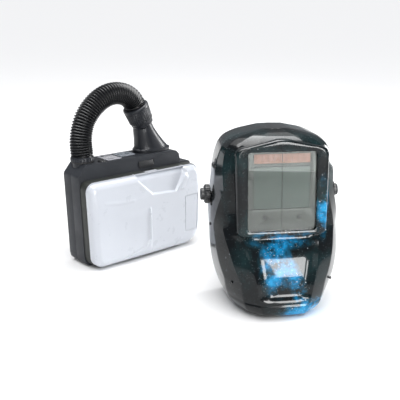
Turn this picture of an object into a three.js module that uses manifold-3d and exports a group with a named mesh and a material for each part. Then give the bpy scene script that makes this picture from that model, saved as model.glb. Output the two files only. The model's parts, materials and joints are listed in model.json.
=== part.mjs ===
// Powered air respirator: a blower with its filter cover and breathing hose, and a
// welding helmet with its headgear. Millimetres, +Z up. The blower stands along X with
// its filter cover facing -Y; the helmet stands in front of it, turned about Z.
import * as THREE from 'three';
import { mergeVertices } from 'three/addons/utils/BufferGeometryUtils.js';
import Module from 'manifold-3d';

const wasm = await Module();
wasm.setup();

// ---------- driving dimensions ----------
const GAP = 0.3; // clearance between pieces that touch
const WALL = 2.6; // moulded wall thickness

// blower, front to back: cover shell, cover frame, front housing, rear housing
const HALF_WIDTH = 134.5; // at the shoulder
const HALF_WIDTH_BASE = 129.5;
const RIDGE_TOP = 201; // top of the ridge that holds the port and the controls
const RIDGE_BASE = 174; // top of the filter cover
const RIDGE_RIGHT = 107;
const SPLIT_Y = -26; // joint between the rear and the front housing
const HOUSING_FRONT = -56;
const FRAME_FRONT = -76;
const COVER_FRONT = -100;
const COVER_BOTTOM = 5.6;
const COVER_TOP = 172;

// air path
const FAN = { x: -50, z: 92, radius: 36, scroll: 44, inletRadius: 27 };
const PORT = { x: -105.5, y: -24, radius: 19, wall: 2.2 };
const HOSE_DIAMETER = 39;
const NOZZLE = { x: 57, y: -24, halfWidth: 41, halfDepth: 26, neckRadius: 17.5 };

// hose centreline in the plane of the port (x, z), from the port to the cuff
const HOSE_ROUTE = [
  [-105.5, 206], [-105.5, 213.5], [-106.5, 223.5], [-107, 240.5], [-104, 259.5], [-96.3, 280.5], [-82, 299.5],
  [-63.6, 314], [-44.1, 322.5], [-23.7, 324.5], [-5.2, 320.5], [7.5, 313], [16.4, 302.8], [19.8, 295.5],
  [27.3, 279.5],
];
const CUFF_TOP = [19.8, 295.5];
const CUFF_BOTTOM = [37.7, 257.5];

// helmet
const HELMET_PLACE = { x: 10.2, y: -444.5, turn: -32.5 };
const HELMET_HEIGHT = 297;
const HELMET_MID_Y = 110; // the headgear's pivot
const WIDEST_Y = 86; // the shell's widest section
const PIVOT_Z = 181;
const SHELL_WALL = 3;
const LENS = { y: 26, z: 205, tilt: -5, halfWidth: 56.5, halfHeight: 64.5 };
const HEADBAND = { y: 152, z: PIVOT_Z, halfWidth: 78, halfDepth: 92, height: 28, wall: 2.2 };

// moves the whole set so that its footprint is centred on the origin
const SET_SHIFT = { x: -22.8, y: 237.05 };

// ---------- materials ----------
const charcoal = new THREE.MeshStandardMaterial({ color: 0x3a3c42, roughness: 0.55 });
const cover_white = new THREE.MeshStandardMaterial({ color: 0xe9ecf2, roughness: 0.35 });
const hose_black = new THREE.MeshStandardMaterial({ color: 0x121416, roughness: 0.5 });
const shell_gloss = new THREE.MeshStandardMaterial({ color: 0x0b1a20, roughness: 0.12 });
const lens_green = new THREE.MeshStandardMaterial({ color: 0x4b5a52, roughness: 0.1 });
const clear_lens = new THREE.MeshStandardMaterial({ color: 0xc8d4d6, roughness: 0.05 });
const soft_black = new THREE.MeshStandardMaterial({ color: 0x17181a, roughness: 0.9 });
const panel_grey = new THREE.MeshStandardMaterial({ color: 0xbdbdc6, roughness: 0.4 });
const button_grey = new THREE.MeshStandardMaterial({ color: 0x77808a, roughness: 0.5 });
const solar_brown = new THREE.MeshStandardMaterial({ color: 0x8a5a4a, roughness: 0.25 });
const steel = new THREE.MeshStandardMaterial({ color: 0xa8abb0, roughness: 0.3, metalness: 1 });
const filter_media = new THREE.MeshStandardMaterial({ color: 0xe6e4da, roughness: 0.95 });
const board_green = new THREE.MeshStandardMaterial({ color: 0x1f5a3a, roughness: 0.5 });
const rubber = new THREE.MeshStandardMaterial({ color: 0x1b1b1c, roughness: 0.85 });

// ---------- geometry helpers ----------
function toSolid(geometry) {
  const bare = geometry.clone();
  bare.deleteAttribute('normal');
  bare.deleteAttribute('uv');
  const merged = mergeVertices(bare, 1e-4);
  const vertProperties = new Float32Array(merged.attributes.position.array);
  const triVerts = new Uint32Array(merged.index.array);
  return new wasm.Manifold(new wasm.Mesh({ numProp: 3, vertProperties, triVerts }));
}

function toGeometry(solid) {
  const mesh = solid.getMesh();
  const geometry = new THREE.BufferGeometry();
  geometry.setAttribute('position', new THREE.BufferAttribute(mesh.vertProperties, 3));
  geometry.setIndex(new THREE.BufferAttribute(mesh.triVerts, 1));
  geometry.computeVertexNormals();
  return geometry;
}

function cut(body, ...tools) {
  return toGeometry(tools.reduce((left, tool) => left.subtract(toSolid(tool)), toSolid(body)));
}

function join(body, ...others) {
  return toGeometry(others.reduce((sum, other) => sum.add(toSolid(other)), toSolid(body)));
}

// outline through corner points [x, z, radius], each corner rounded by its radius
function outline(corners, segments = 3) {
  const points = [];
  corners.forEach(([x, z, radius = 0], i) => {
    const corner = new THREE.Vector2(x, z);
    const before = corners[(i + corners.length - 1) % corners.length];
    const after = corners[(i + 1) % corners.length];
    if (radius === 0) {
      points.push(corner);
      return;
    }
    const toBefore = new THREE.Vector2(before[0] - x, before[1] - z).setLength(radius);
    const toAfter = new THREE.Vector2(after[0] - x, after[1] - z).setLength(radius);
    const arc = new THREE.QuadraticBezierCurve(corner.clone().add(toBefore), corner,
      corner.clone().add(toAfter));
    points.push(...arc.getPoints(segments));
  });
  return points;
}

function rectangle(x0, x1, z0, z1, radius = 0) {
  return outline([[x0, z0, radius], [x1, z0, radius], [x1, z1, radius], [x0, z1, radius]]);
}

function circle(x, z, radius, segments = 24) {
  return Array.from({ length: segments }, (_, i) => {
    const angle = (i / segments) * 2 * Math.PI;
    return new THREE.Vector2(x + radius * Math.cos(angle), z + radius * Math.sin(angle));
  });
}

// moves every edge of an anticlockwise outline inwards by a distance
function inset(points, distance) {
  return points.map((point, i) => {
    const before = points[(i + points.length - 1) % points.length];
    const after = points[(i + 1) % points.length];
    const entering = point.clone().sub(before).normalize();
    const leaving = after.clone().sub(point).normalize();
    const normal = new THREE.Vector2(-entering.y - leaving.y, entering.x + leaving.x).normalize();
    const reach = distance / Math.max(0.4, normal.dot(new THREE.Vector2(-entering.y, entering.x)));
    return point.clone().addScaledVector(normal, reach);
  });
}

// prism of an XZ outline, from the plane y = back towards -Y, its front edge rounded
function prismY(points, back, front, bevel = 0) {
  const geometry = new THREE.ExtrudeGeometry(new THREE.Shape(points), {
    depth: back - front - bevel, steps: 1, curveSegments: 1,
    bevelEnabled: bevel > 0, bevelSize: bevel, bevelOffset: -bevel,
    bevelThickness: bevel, bevelSegments: 2,
  });
  geometry.rotateX(Math.PI / 2);
  geometry.translate(0, back, 0);
  return bevel > 0 ? cut(geometry, box(-500, 500, back, back + 2 * bevel, -500, 500)) : geometry;
}

// prism of an XY outline, from z = bottom to z = top
function prismZ(points, bottom, top) {
  const geometry = new THREE.ExtrudeGeometry(new THREE.Shape(points), {
    depth: top - bottom, bevelEnabled: false, curveSegments: 1,
  });
  geometry.translate(0, 0, bottom);
  return geometry;
}

function box(x0, x1, y0, y1, z0, z1) {
  const geometry = new THREE.BoxGeometry(x1 - x0, y1 - y0, z1 - z0);
  geometry.translate((x0 + x1) / 2, (y0 + y1) / 2, (z0 + z1) / 2);
  return geometry;
}

// solid of revolution about +Z through the profile points [radius, z]
function turned(profile, segments = 24) {
  const points = profile.map(([r, z]) => new THREE.Vector2(r, z));
  return new THREE.LatheGeometry(points, segments).rotateX(Math.PI / 2);
}

function tubeRing(outer, inner, bottom, top, segments = 28) {
  return turned([[inner, bottom], [outer, bottom], [outer, top], [inner, top], [inner, bottom]],
    segments);
}

function rod(radius, from, to, segments = 20) {
  const geometry = new THREE.CylinderGeometry(radius, radius, from.distanceTo(to), segments);
  const along = to.clone().sub(from).normalize();
  geometry.applyQuaternion(
    new THREE.Quaternion().setFromUnitVectors(new THREE.Vector3(0, 1, 0), along));
  const middle = from.clone().add(to).multiplyScalar(0.5);
  geometry.translate(middle.x, middle.y, middle.z);
  return geometry;
}

// closed solid through rings of equal length, capped at both ends; the rings run
// anticlockwise seen from the last ring
function loft(rings) {
  const count = rings[0].length;
  const vertices = rings.flat();
  const faces = [];
  for (let ring = 0; ring < rings.length - 1; ring += 1) {
    for (let i = 0; i < count; i += 1) {
      const next = (i + 1) % count;
      const low = ring * count;
      const high = low + count;
      faces.push(low + i, low + next, high + next, low + i, high + next, high + i);
    }
  }
  for (const [ring, isTop] of [[0, false], [rings.length - 1, true]]) {
    const middle = new THREE.Vector3();
    rings[ring].forEach((point) => middle.addScaledVector(point, 1 / count));
    vertices.push(middle);
    for (let i = 0; i < count; i += 1) {
      const a = ring * count + i;
      const b = ring * count + ((i + 1) % count);
      faces.push(vertices.length - 1, isTop ? a : b, isTop ? b : a);
    }
  }
  return fromFaces(vertices, faces);
}

function fromFaces(vertices, faces) {
  const geometry = new THREE.BufferGeometry();
  geometry.setFromPoints(vertices);
  geometry.setIndex(faces);
  geometry.computeVertexNormals();
  return geometry;
}

// closed sheet of even thickness over a surface point(u, v), u and v from 0 to 1;
// the thickness goes along -(dP/du x dP/dv)
function sheet(point, columns, rows, thickness) {
  const outer = [];
  const inner = [];
  const step = 1e-3;
  for (let j = 0; j <= rows; j += 1) {
    for (let i = 0; i <= columns; i += 1) {
      const [u, v] = [i / columns, j / rows];
      const here = point(u, v);
      const alongU = point(u + step, v).sub(point(u - step, v));
      const alongV = point(u, v + step).sub(point(u, v - step));
      const normal = alongU.cross(alongV).normalize();
      outer.push(here);
      inner.push(here.clone().addScaledVector(normal, -thickness));
    }
  }
  const size = outer.length;
  const at = (i, j) => j * (columns + 1) + i;
  const faces = [];
  const quad = (a, b, c, d) => faces.push(a, b, c, a, c, d);
  for (let j = 0; j < rows; j += 1) {
    for (let i = 0; i < columns; i += 1) {
      quad(at(i, j), at(i + 1, j), at(i + 1, j + 1), at(i, j + 1));
      quad(size + at(i, j + 1), size + at(i + 1, j + 1), size + at(i + 1, j), size + at(i, j));
    }
  }
  for (let i = 0; i < columns; i += 1) {
    quad(size + at(i, 0), size + at(i + 1, 0), at(i + 1, 0), at(i, 0));
    quad(at(i, rows), at(i + 1, rows), size + at(i + 1, rows), size + at(i, rows));
  }
  for (let j = 0; j < rows; j += 1) {
    quad(at(0, j), at(0, j + 1), size + at(0, j + 1), size + at(0, j));
    quad(size + at(columns, j), size + at(columns, j + 1), at(columns, j + 1), at(columns, j));
  }
  return fromFaces([...outer, ...inner], faces);
}

function power(value, exponent) {
  return Math.sign(value) * Math.abs(value) ** exponent;
}

// closed ring of a flattened oval, anticlockwise seen from above
function oval(x, y, z, halfWidth, halfDepth, squareness = 2, count = 32) {
  return Array.from({ length: count }, (_, i) => {
    const angle = (i / count) * 2 * Math.PI;
    return new THREE.Vector3(
      x + halfWidth * power(Math.cos(angle), 2 / squareness),
      y + halfDepth * power(Math.sin(angle), 2 / squareness), z);
  });
}

function addTo(parent, name, geometry, material) {
  const mesh = new THREE.Mesh(geometry, material);
  mesh.name = name;
  parent.add(mesh);
  return mesh;
}

// ---------- blower: housings ----------
const blower = new THREE.Group();

function housingOutline() {
  return outline([
    [-HALF_WIDTH_BASE, 0, 18], [HALF_WIDTH_BASE, 0, 18], [HALF_WIDTH, RIDGE_BASE, 8],
    [RIDGE_RIGHT, RIDGE_BASE + 1], [RIDGE_RIGHT, RIDGE_TOP, 20],
    [-HALF_WIDTH + 18, RIDGE_TOP, 4], [-HALF_WIDTH, RIDGE_BASE + 6, 4],
  ]);
}

// the battery bay opens through the right-hand walls, below the fan
const BATTERY = { x0: 20, x1: 127, y0: -46, y1: -8, z0: 8, z1: 62 };

function batteryBay() {
  const reach = HALF_WIDTH + 10;
  return box(BATTERY.x0 + 60, reach, BATTERY.y0 - 1, BATTERY.y1 + 1, BATTERY.z0 - 1, BATTERY.z1 + 1);
}

function portBore() {
  const bore = new THREE.CylinderGeometry(PORT.radius + GAP, PORT.radius + GAP, 40, 28);
  bore.rotateX(Math.PI / 2);
  bore.translate(PORT.x, PORT.y, RIDGE_TOP);
  return bore;
}

const BUTTONS = [
  { name: 'power_button', x: -76, y: -46, radius: 7.5 },
  { name: 'flow_down_button', x: -20, y: -24, radius: 5 },
  { name: 'flow_up_button', x: -3, y: -24, radius: 5 },
];

function buttonHole(button) {
  const hole = new THREE.CylinderGeometry(button.radius + GAP, button.radius + GAP, 30, 20);
  hole.rotateX(Math.PI / 2);
  hole.translate(button.x, button.y, RIDGE_TOP);
  return hole;
}

// the latch tab sits in a slot in the ridge's front wall
const LATCH = { x0: 3, x1: 40, z0: 176.5, z1: 190 };

function makeHousings() {
  const outer = housingOutline();
  const inner = inset(outer, WALL);
  const holes = [portBore(), batteryBay(), ...BUTTONS.map(buttonHole)];
  const rear = cut(prismY(outer, 0, SPLIT_Y), prismY(inner, -WALL, SPLIT_Y - 1), ...holes);
  addTo(blower, 'rear_housing', rear, charcoal);

  const frontBack = SPLIT_Y - GAP;
  const inlet = prismY(circle(FAN.x, FAN.z, FAN.inletRadius + 4), HOUSING_FRONT + 10,
    HOUSING_FRONT - 5);
  const slot = box(LATCH.x0 - GAP, LATCH.x1 + GAP, HOUSING_FRONT - 5, HOUSING_FRONT + 8,
    LATCH.z0 - GAP, LATCH.z1 + GAP);
  const hollow = prismY(inner, frontBack + 1, HOUSING_FRONT + WALL);
  const shell = cut(prismY(outer, frontBack, HOUSING_FRONT), hollow, inlet, slot, ...holes);
  addTo(blower, 'front_housing', join(shell, ...hingeLugs()), charcoal);
}

// ---------- blower: filter cover and its hinge ----------
const HINGE = { y: -60.5, z: 2.9, pinRadius: 1.5, halfLength: 15 };
const HINGE_X = [-85, 85];

function hingeRod(x, radius, halfLength) {
  return rod(radius, new THREE.Vector3(x - halfLength, HINGE.y, HINGE.z),
    new THREE.Vector3(x + halfLength, HINGE.y, HINGE.z), 12);
}

// each pin is held by two lugs on the housing's lower edge
function hingeLugs() {
  return HINGE_X.flatMap((x) => [-1, 1].map((side) => {
    const middle = x + side * (HINGE.halfLength - 3);
    const arm = box(middle - 3, middle + 3, HINGE.y, HOUSING_FRONT + 2, 0.6, HINGE.z + 2.2);
    const eye = rod(2.3, new THREE.Vector3(middle - 3, HINGE.y, HINGE.z),
      new THREE.Vector3(middle + 3, HINGE.y, HINGE.z), 16);
    return cut(join(arm, eye), hingeRod(x, HINGE.pinRadius + 0.1, HINGE.halfLength + 2));
  }));
}

function hingePins() {
  ['left', 'right'].forEach((side, i) => {
    addTo(blower, `hinge_pin_${side}`, hingeRod(HINGE_X[i], HINGE.pinRadius, HINGE.halfLength), steel);
  });
}

function coverOutline() {
  return outline([
    [-HALF_WIDTH_BASE + 1, COVER_BOTTOM, 18], [HALF_WIDTH_BASE - 1, COVER_BOTTOM, 32],
    [HALF_WIDTH - 1, COVER_TOP, 16], [-HALF_WIDTH + 1, COVER_TOP, 16],
  ], 4);
}

function makeFilterCover() {
  const outer = coverOutline();
  const inner = inset(outer, WALL);
  const back = HOUSING_FRONT - GAP;
  const notch = box(LATCH.x0 + 2, LATCH.x1 - 6, HOUSING_FRONT - 22, HOUSING_FRONT + 1,
    COVER_TOP - 1.6, COVER_TOP + 5);
  const ring = cut(prismY(outer, back, FRAME_FRONT), prismY(inner, back + 1, FRAME_FRONT - 1), notch,
    ...intakeSlots());
  const ears = HINGE_X.map((x) => {
    const ear = box(x - 8.5, x + 8.5, HINGE.y - 2.6, HINGE.y + 2.6, HINGE.z - 2.4, COVER_BOTTOM + 1.5);
    return cut(ear, hingeRod(x, HINGE.pinRadius + GAP, HINGE.halfLength));
  });
  addTo(blower, 'cover_frame', join(ring, ...ears), charcoal);
  addTo(blower, 'cover_shell', coverShell(outer), cover_white);
}

// rows of air slots through the underside of the cover frame
function intakeSlots() {
  return Array.from({ length: 9 }, (_, i) => {
    const x = -56 + i * 14;
    return box(x - 4, x + 4, FRAME_FRONT + 4, FRAME_FRONT + 10, COVER_BOTTOM - 2, COVER_BOTTOM + 5);
  });
}

function coverShell(outer) {
  const edge = 9; // rounding of the shell's front edge
  const back = FRAME_FRONT - GAP;
  const face = COVER_FRONT + 5;
  const body = prismY(outer, back, face, edge);
  const field = prismY(outline([
    [-104, 20, 10], [66, 20, 14], [78, 40], [78, 118], [62, 128], [14, 130], [-8, 156, 8],
    [-104, 156, 12],
  ]), face + 4, COVER_FRONT, 4);
  const hollow = prismY(inset(outer, WALL + edge * 0.4), back + 1, face + WALL + 1);
  const raised = join(body, field);
  return cut(raised, prismY(rectangle(90, 120, 36, 112, 5), face + 1.6, face - 20), hollow);
}

// ---------- blower: filters ----------
function makeFilters() {
  const halfWidth = 116;
  const [low, high] = [22, 156];
  const frame = rectangle(-halfWidth, halfWidth, low, high, 6);
  const back = HOUSING_FRONT - 4;
  addTo(blower, 'particle_filter', prismY(frame, back, FRAME_FRONT + 2), filter_media);

  const seal = prismY(circle(FAN.x, FAN.z, FAN.inletRadius + 10), HOUSING_FRONT - GAP, back + GAP);
  const hole = prismY(circle(FAN.x, FAN.z, FAN.inletRadius + 5), HOUSING_FRONT + 2, back - 2);
  addTo(blower, 'filter_seal', cut(seal, hole), rubber);

  const prefilterBack = FRAME_FRONT + 2 - GAP;
  const prefilterFront = prefilterBack - 6;
  addTo(blower, 'prefilter', prismY(frame, prefilterBack, prefilterFront), filter_media);

  const plate = prismY(frame, prefilterFront - GAP, prefilterFront - 1.5);
  const holes = [];
  for (let column = 0; column < 8; column += 1) {
    for (let row = 0; row < 5; row += 1) {
      const x = -98 + column * 28;
      const z = low + 17 + row * 25;
      holes.push(box(x - 10, x + 10, prefilterFront - 4, prefilterFront + 2, z - 9, z + 9));
    }
  }
  addTo(blower, 'spark_arrestor', cut(plate, ...holes), steel);
}

// ---------- blower: fan ----------
function scrollOutline(grow) {
  const points = [];
  const turns = 20;
  for (let i = 0; i <= turns; i += 1) {
    const angle = -Math.PI + (i / turns) * 1.5 * Math.PI;
    const radius = FAN.scroll + grow + 8 * (1 - i / turns);
    points.push(new THREE.Vector2(FAN.x + radius * Math.cos(angle), FAN.z + radius * Math.sin(angle)));
  }
  // the outlet duct rises from the scroll's left side towards the port
  points.push(new THREE.Vector2(FAN.x - 28 + grow, FAN.z + FAN.scroll + 8));
  points.push(new THREE.Vector2(PORT.x + 17 + grow, RIDGE_BASE - 10));
  points.push(new THREE.Vector2(PORT.x - 17 - grow, RIDGE_BASE - 10));
  points.push(new THREE.Vector2(PORT.x - 12 - grow, FAN.z + 40));
  return points;
}

function makeFan() {
  const [back, front] = [-12, -48];
  const outer = prismY(scrollOutline(2), back, front);
  const hollow = prismY(scrollOutline(0), back - 2, front + 2);
  const inlet = prismY(circle(FAN.x, FAN.z, FAN.inletRadius), front + 5, front - 5);
  const shaftHole = prismY(circle(FAN.x, FAN.z, 8), back + 2, back - 5);
  const outletTop = RIDGE_BASE - 10;
  const outlet = box(PORT.x - 15, PORT.x + 15, front + 3, back - 3, outletTop - 6, outletTop + 6);
  addTo(blower, 'fan_volute', cut(outer, hollow, inlet, shaftHole, outlet), charcoal);

  const centre = new THREE.Vector3(FAN.x, 0, FAN.z);
  const at = (y) => centre.clone().setY(y);
  const motor = join(rod(22, at(-3), at(back + GAP)), rod(5, at(back + 1), at(-18)));
  addTo(blower, 'fan_motor', motor, steel);
  addTo(blower, 'impeller', impeller(at), hose_black);
}

function impeller(at) {
  const [back, front] = [-19, -42];
  const hub = rod(FAN.radius, at(back), at(back - 3), 28);
  const boss = rod(9, at(back), at(back - 12), 16);
  const blades = Array.from({ length: 12 }, (_, i) => {
    const blade = box(FAN.radius - 12, FAN.radius - 0.5, front, back - 1, -1, 1);
    blade.translate(0, 0, 6);
    blade.rotateY((i / 12) * 2 * Math.PI);
    blade.translate(FAN.x, 0, FAN.z);
    return blade;
  });
  return join(hub, boss, ...blades);
}

// ---------- blower: battery, board, controls ----------
function makeBattery() {
  const { x0, x1, y0, y1, z0, z1 } = BATTERY;
  const pack = box(x0, x1 - 2, y0, y1, z0, z1);
  const capOutline = rectangle(-y1 + 0.4, -y0 - 0.4, z0 + 0.4, z1 - 0.4, 5);
  const cap = prismZ(capOutline, 0, 7);
  cap.applyMatrix4(new THREE.Matrix4().makeBasis(
    new THREE.Vector3(0, -1, 0), new THREE.Vector3(0, 0, 1), new THREE.Vector3(-1, 0, 0)));
  cap.translate(x1 + 4.5, 0, 0);
  const latchPocket = box(x1 - 4, x1 + 10, (y0 + y1) / 2 - 9, (y0 + y1) / 2 + 9, z1 - 17, z1 - 7);
  addTo(blower, 'battery_pack', cut(join(pack, cap), latchPocket), charcoal);
  const key = box(x1 - 1.6, x1 + 5.2, (y0 + y1) / 2 - 8.6, (y0 + y1) / 2 + 8.6, z1 - 16.6, z1 - 7.4);
  addTo(blower, 'battery_release', key, button_grey);
}

function makeControls() {
  addTo(blower, 'control_board', box(-80, 90, -44, -12, RIDGE_TOP - 14, RIDGE_TOP - 12.4), board_green);
  const top = RIDGE_TOP + GAP;
  const panel = prismZ(rectangle(-65, -32, -50, -8, 3), top, top + 1);
  addTo(blower, 'display_panel', panel, panel_grey);
  const pad = prismZ(rectangle(-29, 8, -40, -10, 5), top, top + 1.4);
  addTo(blower, 'control_pad', cut(pad, ...BUTTONS.slice(1).map(buttonHole)), button_grey);
  for (const button of BUTTONS) {
    const low = RIDGE_TOP - 6;
    const skirt = button.radius - 0.2;
    const cap = turned([[0, low], [skirt, low], [skirt, RIDGE_TOP + 1.8],
      [skirt - 1.2, RIDGE_TOP + 2.8], [0, RIDGE_TOP + 3]], 20);
    cap.translate(button.x, button.y, 0);
    addTo(blower, button.name, cap, button_grey);
  }
  const face = outline([[LATCH.x0, LATCH.z0, 2], [LATCH.x1, LATCH.z0, 2], [LATCH.x1 - 3, LATCH.z1, 2],
    [LATCH.x0, LATCH.z1, 2]]);
  addTo(blower, 'latch_button', prismY(face, HOUSING_FRONT + 5, HOUSING_FRONT - 1.5), charcoal);
}

function makeBeltBracket() {
  const plate = prismY(rectangle(-70, 70, 60, 130, 8), 5, GAP);
  const loops = [-1, 1].map((side) => {
    const x = side * 52;
    const arm = box(x - 12, x + 12, 4, 14, 66, 124);
    return cut(arm, box(x - 13, x + 13, 5, 10.5, 71, 119));
  });
  addTo(blower, 'belt_bracket', join(plate, ...loops), charcoal);
}

// ---------- hose, port, cuff and nozzle ----------
function makePort() {
  const base = RIDGE_TOP + GAP;
  const place = (geometry) => geometry.translate(PORT.x, PORT.y, 0);
  const { radius, wall } = PORT;
  const [low, high] = [RIDGE_TOP - 22, RIDGE_TOP + 4];
  const spigot = [[radius - wall, low], [radius, low], [radius, high], [radius - wall, high],
    [radius - wall, low]];
  addTo(blower, 'port_spigot', place(turned(spigot, 28)), charcoal);
  addTo(blower, 'port_seal', place(tubeRing(radius + 2.4, radius + GAP, base, base + 2)), rubber);
  const ringBottom = base + 2 + GAP;
  const ring = [[radius + 1.2, ringBottom], [24, ringBottom], [24, ringBottom + 7],
    [22.6, ringBottom + 9], [HOSE_DIAMETER / 2 + 0.8, ringBottom + 9], [radius + 1.2, high + GAP],
    [radius + 1.2, ringBottom]];
  addTo(blower, 'port_lock_ring', place(turned(ring, 32)), hose_black);
}

function hoseCurve() {
  return new THREE.CatmullRomCurve3(HOSE_ROUTE.map(([x, z]) => new THREE.Vector3(x, PORT.y, z)),
    false, 'centripetal');
}

function makeHose() {
  const section = new THREE.Shape(circle(0, 0, HOSE_DIAMETER / 2, 12));
  const tube = new THREE.ExtrudeGeometry(section, { steps: 16, extrudePath: hoseCurve() });
  addTo(blower, 'hose_tube', tube, hose_black);
}

// direction of the cuff, from the hose end down to the nozzle's neck
function cuffFrame() {
  const top = new THREE.Vector3(CUFF_TOP[0], PORT.y, CUFF_TOP[1]);
  const bottom = new THREE.Vector3(CUFF_BOTTOM[0], PORT.y, CUFF_BOTTOM[1]);
  const up = top.clone().sub(bottom).normalize();
  return { top, bottom, up, length: top.distanceTo(bottom) };
}

function makeCuff() {
  const { bottom, up, length } = cuffFrame();
  const hoseBore = HOSE_DIAMETER / 2 + 0.8;
  const profile = [[NOZZLE.neckRadius + GAP, 0], [20.5, 0], [22.5, 6], [25.5, length - 3],
    [24.5, length], [hoseBore, length], [hoseBore, 16], [NOZZLE.neckRadius + GAP, 14],
    [NOZZLE.neckRadius + GAP, 0]];
  const cuff = turned(profile, 30);
  cuff.applyQuaternion(new THREE.Quaternion().setFromUnitVectors(new THREE.Vector3(0, 0, 1), up));
  cuff.translate(bottom.x, bottom.y, bottom.z);
  addTo(blower, 'swivel_cuff', cuff, hose_black);
}

// the nozzle's sections, from its mouth on the ridge up to its tilted neck
function nozzleRings(shrink) {
  const { bottom, up } = cuffFrame();
  const base = RIDGE_TOP + 2 * GAP + 1.5;
  const levels = [
    { x: NOZZLE.x, z: base, a: NOZZLE.halfWidth, b: NOZZLE.halfDepth },
    { x: NOZZLE.x, z: base + 5, a: NOZZLE.halfWidth, b: NOZZLE.halfDepth },
    { x: NOZZLE.x - 3, z: base + 14, a: 36, b: 25.5 },
    { x: NOZZLE.x - 9, z: base + 26, a: 29, b: 24 },
    { x: NOZZLE.x - 16, z: base + 40, a: 23, b: 21.5 },
  ];
  const rings = levels.map(({ x, z, a, b }) => oval(x, NOZZLE.y, z, a - shrink, b - shrink, 2.3, 28));
  const tilt = new THREE.Quaternion().setFromUnitVectors(new THREE.Vector3(0, 0, 1), up);
  for (const reach of [-3, 12]) {
    const centre = bottom.clone().addScaledVector(up, reach);
    const radius = NOZZLE.neckRadius - shrink;
    rings.push(oval(0, 0, 0, radius, radius, 2, 28).map((p) => p.applyQuaternion(tilt).add(centre)));
  }
  return rings;
}

function makeNozzle() {
  const inner = nozzleRings(2.2);
  const first = inner[0].map((p) => p.clone().add(new THREE.Vector3(0, 0, -2)));
  const { up } = cuffFrame();
  const last = inner.at(-1).map((p) => p.clone().addScaledVector(up, 2));
  const hollow = loft([first, ...inner, last]);
  addTo(blower, 'helmet_connector', cut(loft(nozzleRings(0)), hollow), hose_black);
  const seal = cut(
    prismZ(oval(NOZZLE.x, NOZZLE.y, 0, NOZZLE.halfWidth - 1, NOZZLE.halfDepth - 1, 2.3, 28),
      RIDGE_TOP + GAP, RIDGE_TOP + GAP + 1.5),
    prismZ(oval(NOZZLE.x, NOZZLE.y, 0, NOZZLE.halfWidth - 5, NOZZLE.halfDepth - 5, 2.3, 28),
      RIDGE_TOP - 2, RIDGE_TOP + 5));
  addTo(blower, 'connector_seal', seal, rubber);
}

// ---------- helmet: shell ----------
const helmet = new THREE.Group();

// the shell at each height: [z, half width, front y, squareness]
const SHELL_LEVELS = [
  [0, 66, -8, 2.4], [7, 76, -20, 2.4], [20, 86, -28, 2.4], [50, 98, -30, 2.4], [80, 105, -25, 2.5],
  [110, 107, -10, 2.7], [132, 107, 11, 3], [165, 106, 24, 3.3], [200, 102, 27, 3.3],
  [230, 99, 29, 3.3], [254, 94, 31, 3.2], [270, 88, 34, 3], [282, 76, 41, 2.8],
  [290, 56, 54, 2.6], [HELMET_HEIGHT, 22, 80, 2.4],
];

const REAR_DEPTH = 120; // how far back each ring would reach if it were closed

function shellRings(shrink) {
  return SHELL_LEVELS.map(([z, halfWidth, front, squareness], i) => {
    const lift = i === 0 ? -shrink : 0;
    const drop = i === SHELL_LEVELS.length - 1 ? shrink : 0;
    const ring = oval(0, 0, z + lift - drop, halfWidth - shrink, 1, squareness, 40);
    return ring.map((p) => p.setY(WIDEST_Y
      + p.y * (p.y < 0 ? WIDEST_Y - front - shrink : REAR_DEPTH - shrink)));
  });
}

// side view of the opening for the head: everything behind this line is open
function headOpening() {
  const edge = [[136, HELMET_HEIGHT + 20], [136, 285], [150, 230], [153, 180], [147, 120],
    [134, 60], [122, -10], [260, -10], [260, HELMET_HEIGHT + 20]];
  const prism = prismZ(edge.map(([y, z]) => new THREE.Vector2(y, z)), -150, 150);
  prism.applyMatrix4(new THREE.Matrix4().makeBasis(
    new THREE.Vector3(0, 1, 0), new THREE.Vector3(0, 0, 1), new THREE.Vector3(1, 0, 0)));
  return prism;
}

function inLensFrame(geometry) {
  geometry.rotateX(THREE.MathUtils.degToRad(LENS.tilt));
  geometry.translate(0, LENS.y, LENS.z);
  return geometry;
}

function bezelOutline(grow = 0) {
  return outline([[-72 - grow, -72, 10], [72 + grow, -72, 10], [75 + grow, 68, 10], [0, 84, 30],
    [-75 - grow, 68, 10]]);
}

function makeShell() {
  const bezel = inLensFrame(prismY(bezelOutline(), 24, -9, 4));
  const throat = inLensFrame(prismY(rectangle(-65, 65, -70, 70, 6), 60, -4.2));
  const hollow = shellRings(SHELL_WALL);
  const window = inLensFrame(prismY(
    rectangle(-LENS.halfWidth, LENS.halfWidth, -LENS.halfHeight, LENS.halfHeight, 6), 10, -20));
  const knobHole = rod(6, new THREE.Vector3(-150, HELMET_MID_Y, PIVOT_Z),
    new THREE.Vector3(150, HELMET_MID_Y, PIVOT_Z));
  const skin = cut(loft(shellRings(0)), loft(hollow));
  const seat = toSolid(inLensFrame(prismY(bezelOutline(-4), 30, -5)))
    .subtract(toSolid(loft(hollow)));
  const front = toSolid(skin).add(toSolid(bezel).subtract(toSolid(loft(hollow)))).add(seat);
  const open = front.subtract(toSolid(throat)).subtract(toSolid(window))
    .subtract(toSolid(headOpening())).subtract(toSolid(knobHole));
  addTo(helmet, 'helmet_shell', toGeometry(open), shell_gloss);
}

// ---------- helmet: lens unit ----------
const SENSORS = { x: 28, z: -43, radius: 3.2 };
const ADF_KNOBS = [
  { name: 'shade_knob', x: -26, z: -46, radius: 7 },
  { name: 'sensitivity_knob', x: 26, z: -46, radius: 7 },
];
const TEST_BUTTON_Z = -46;

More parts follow.
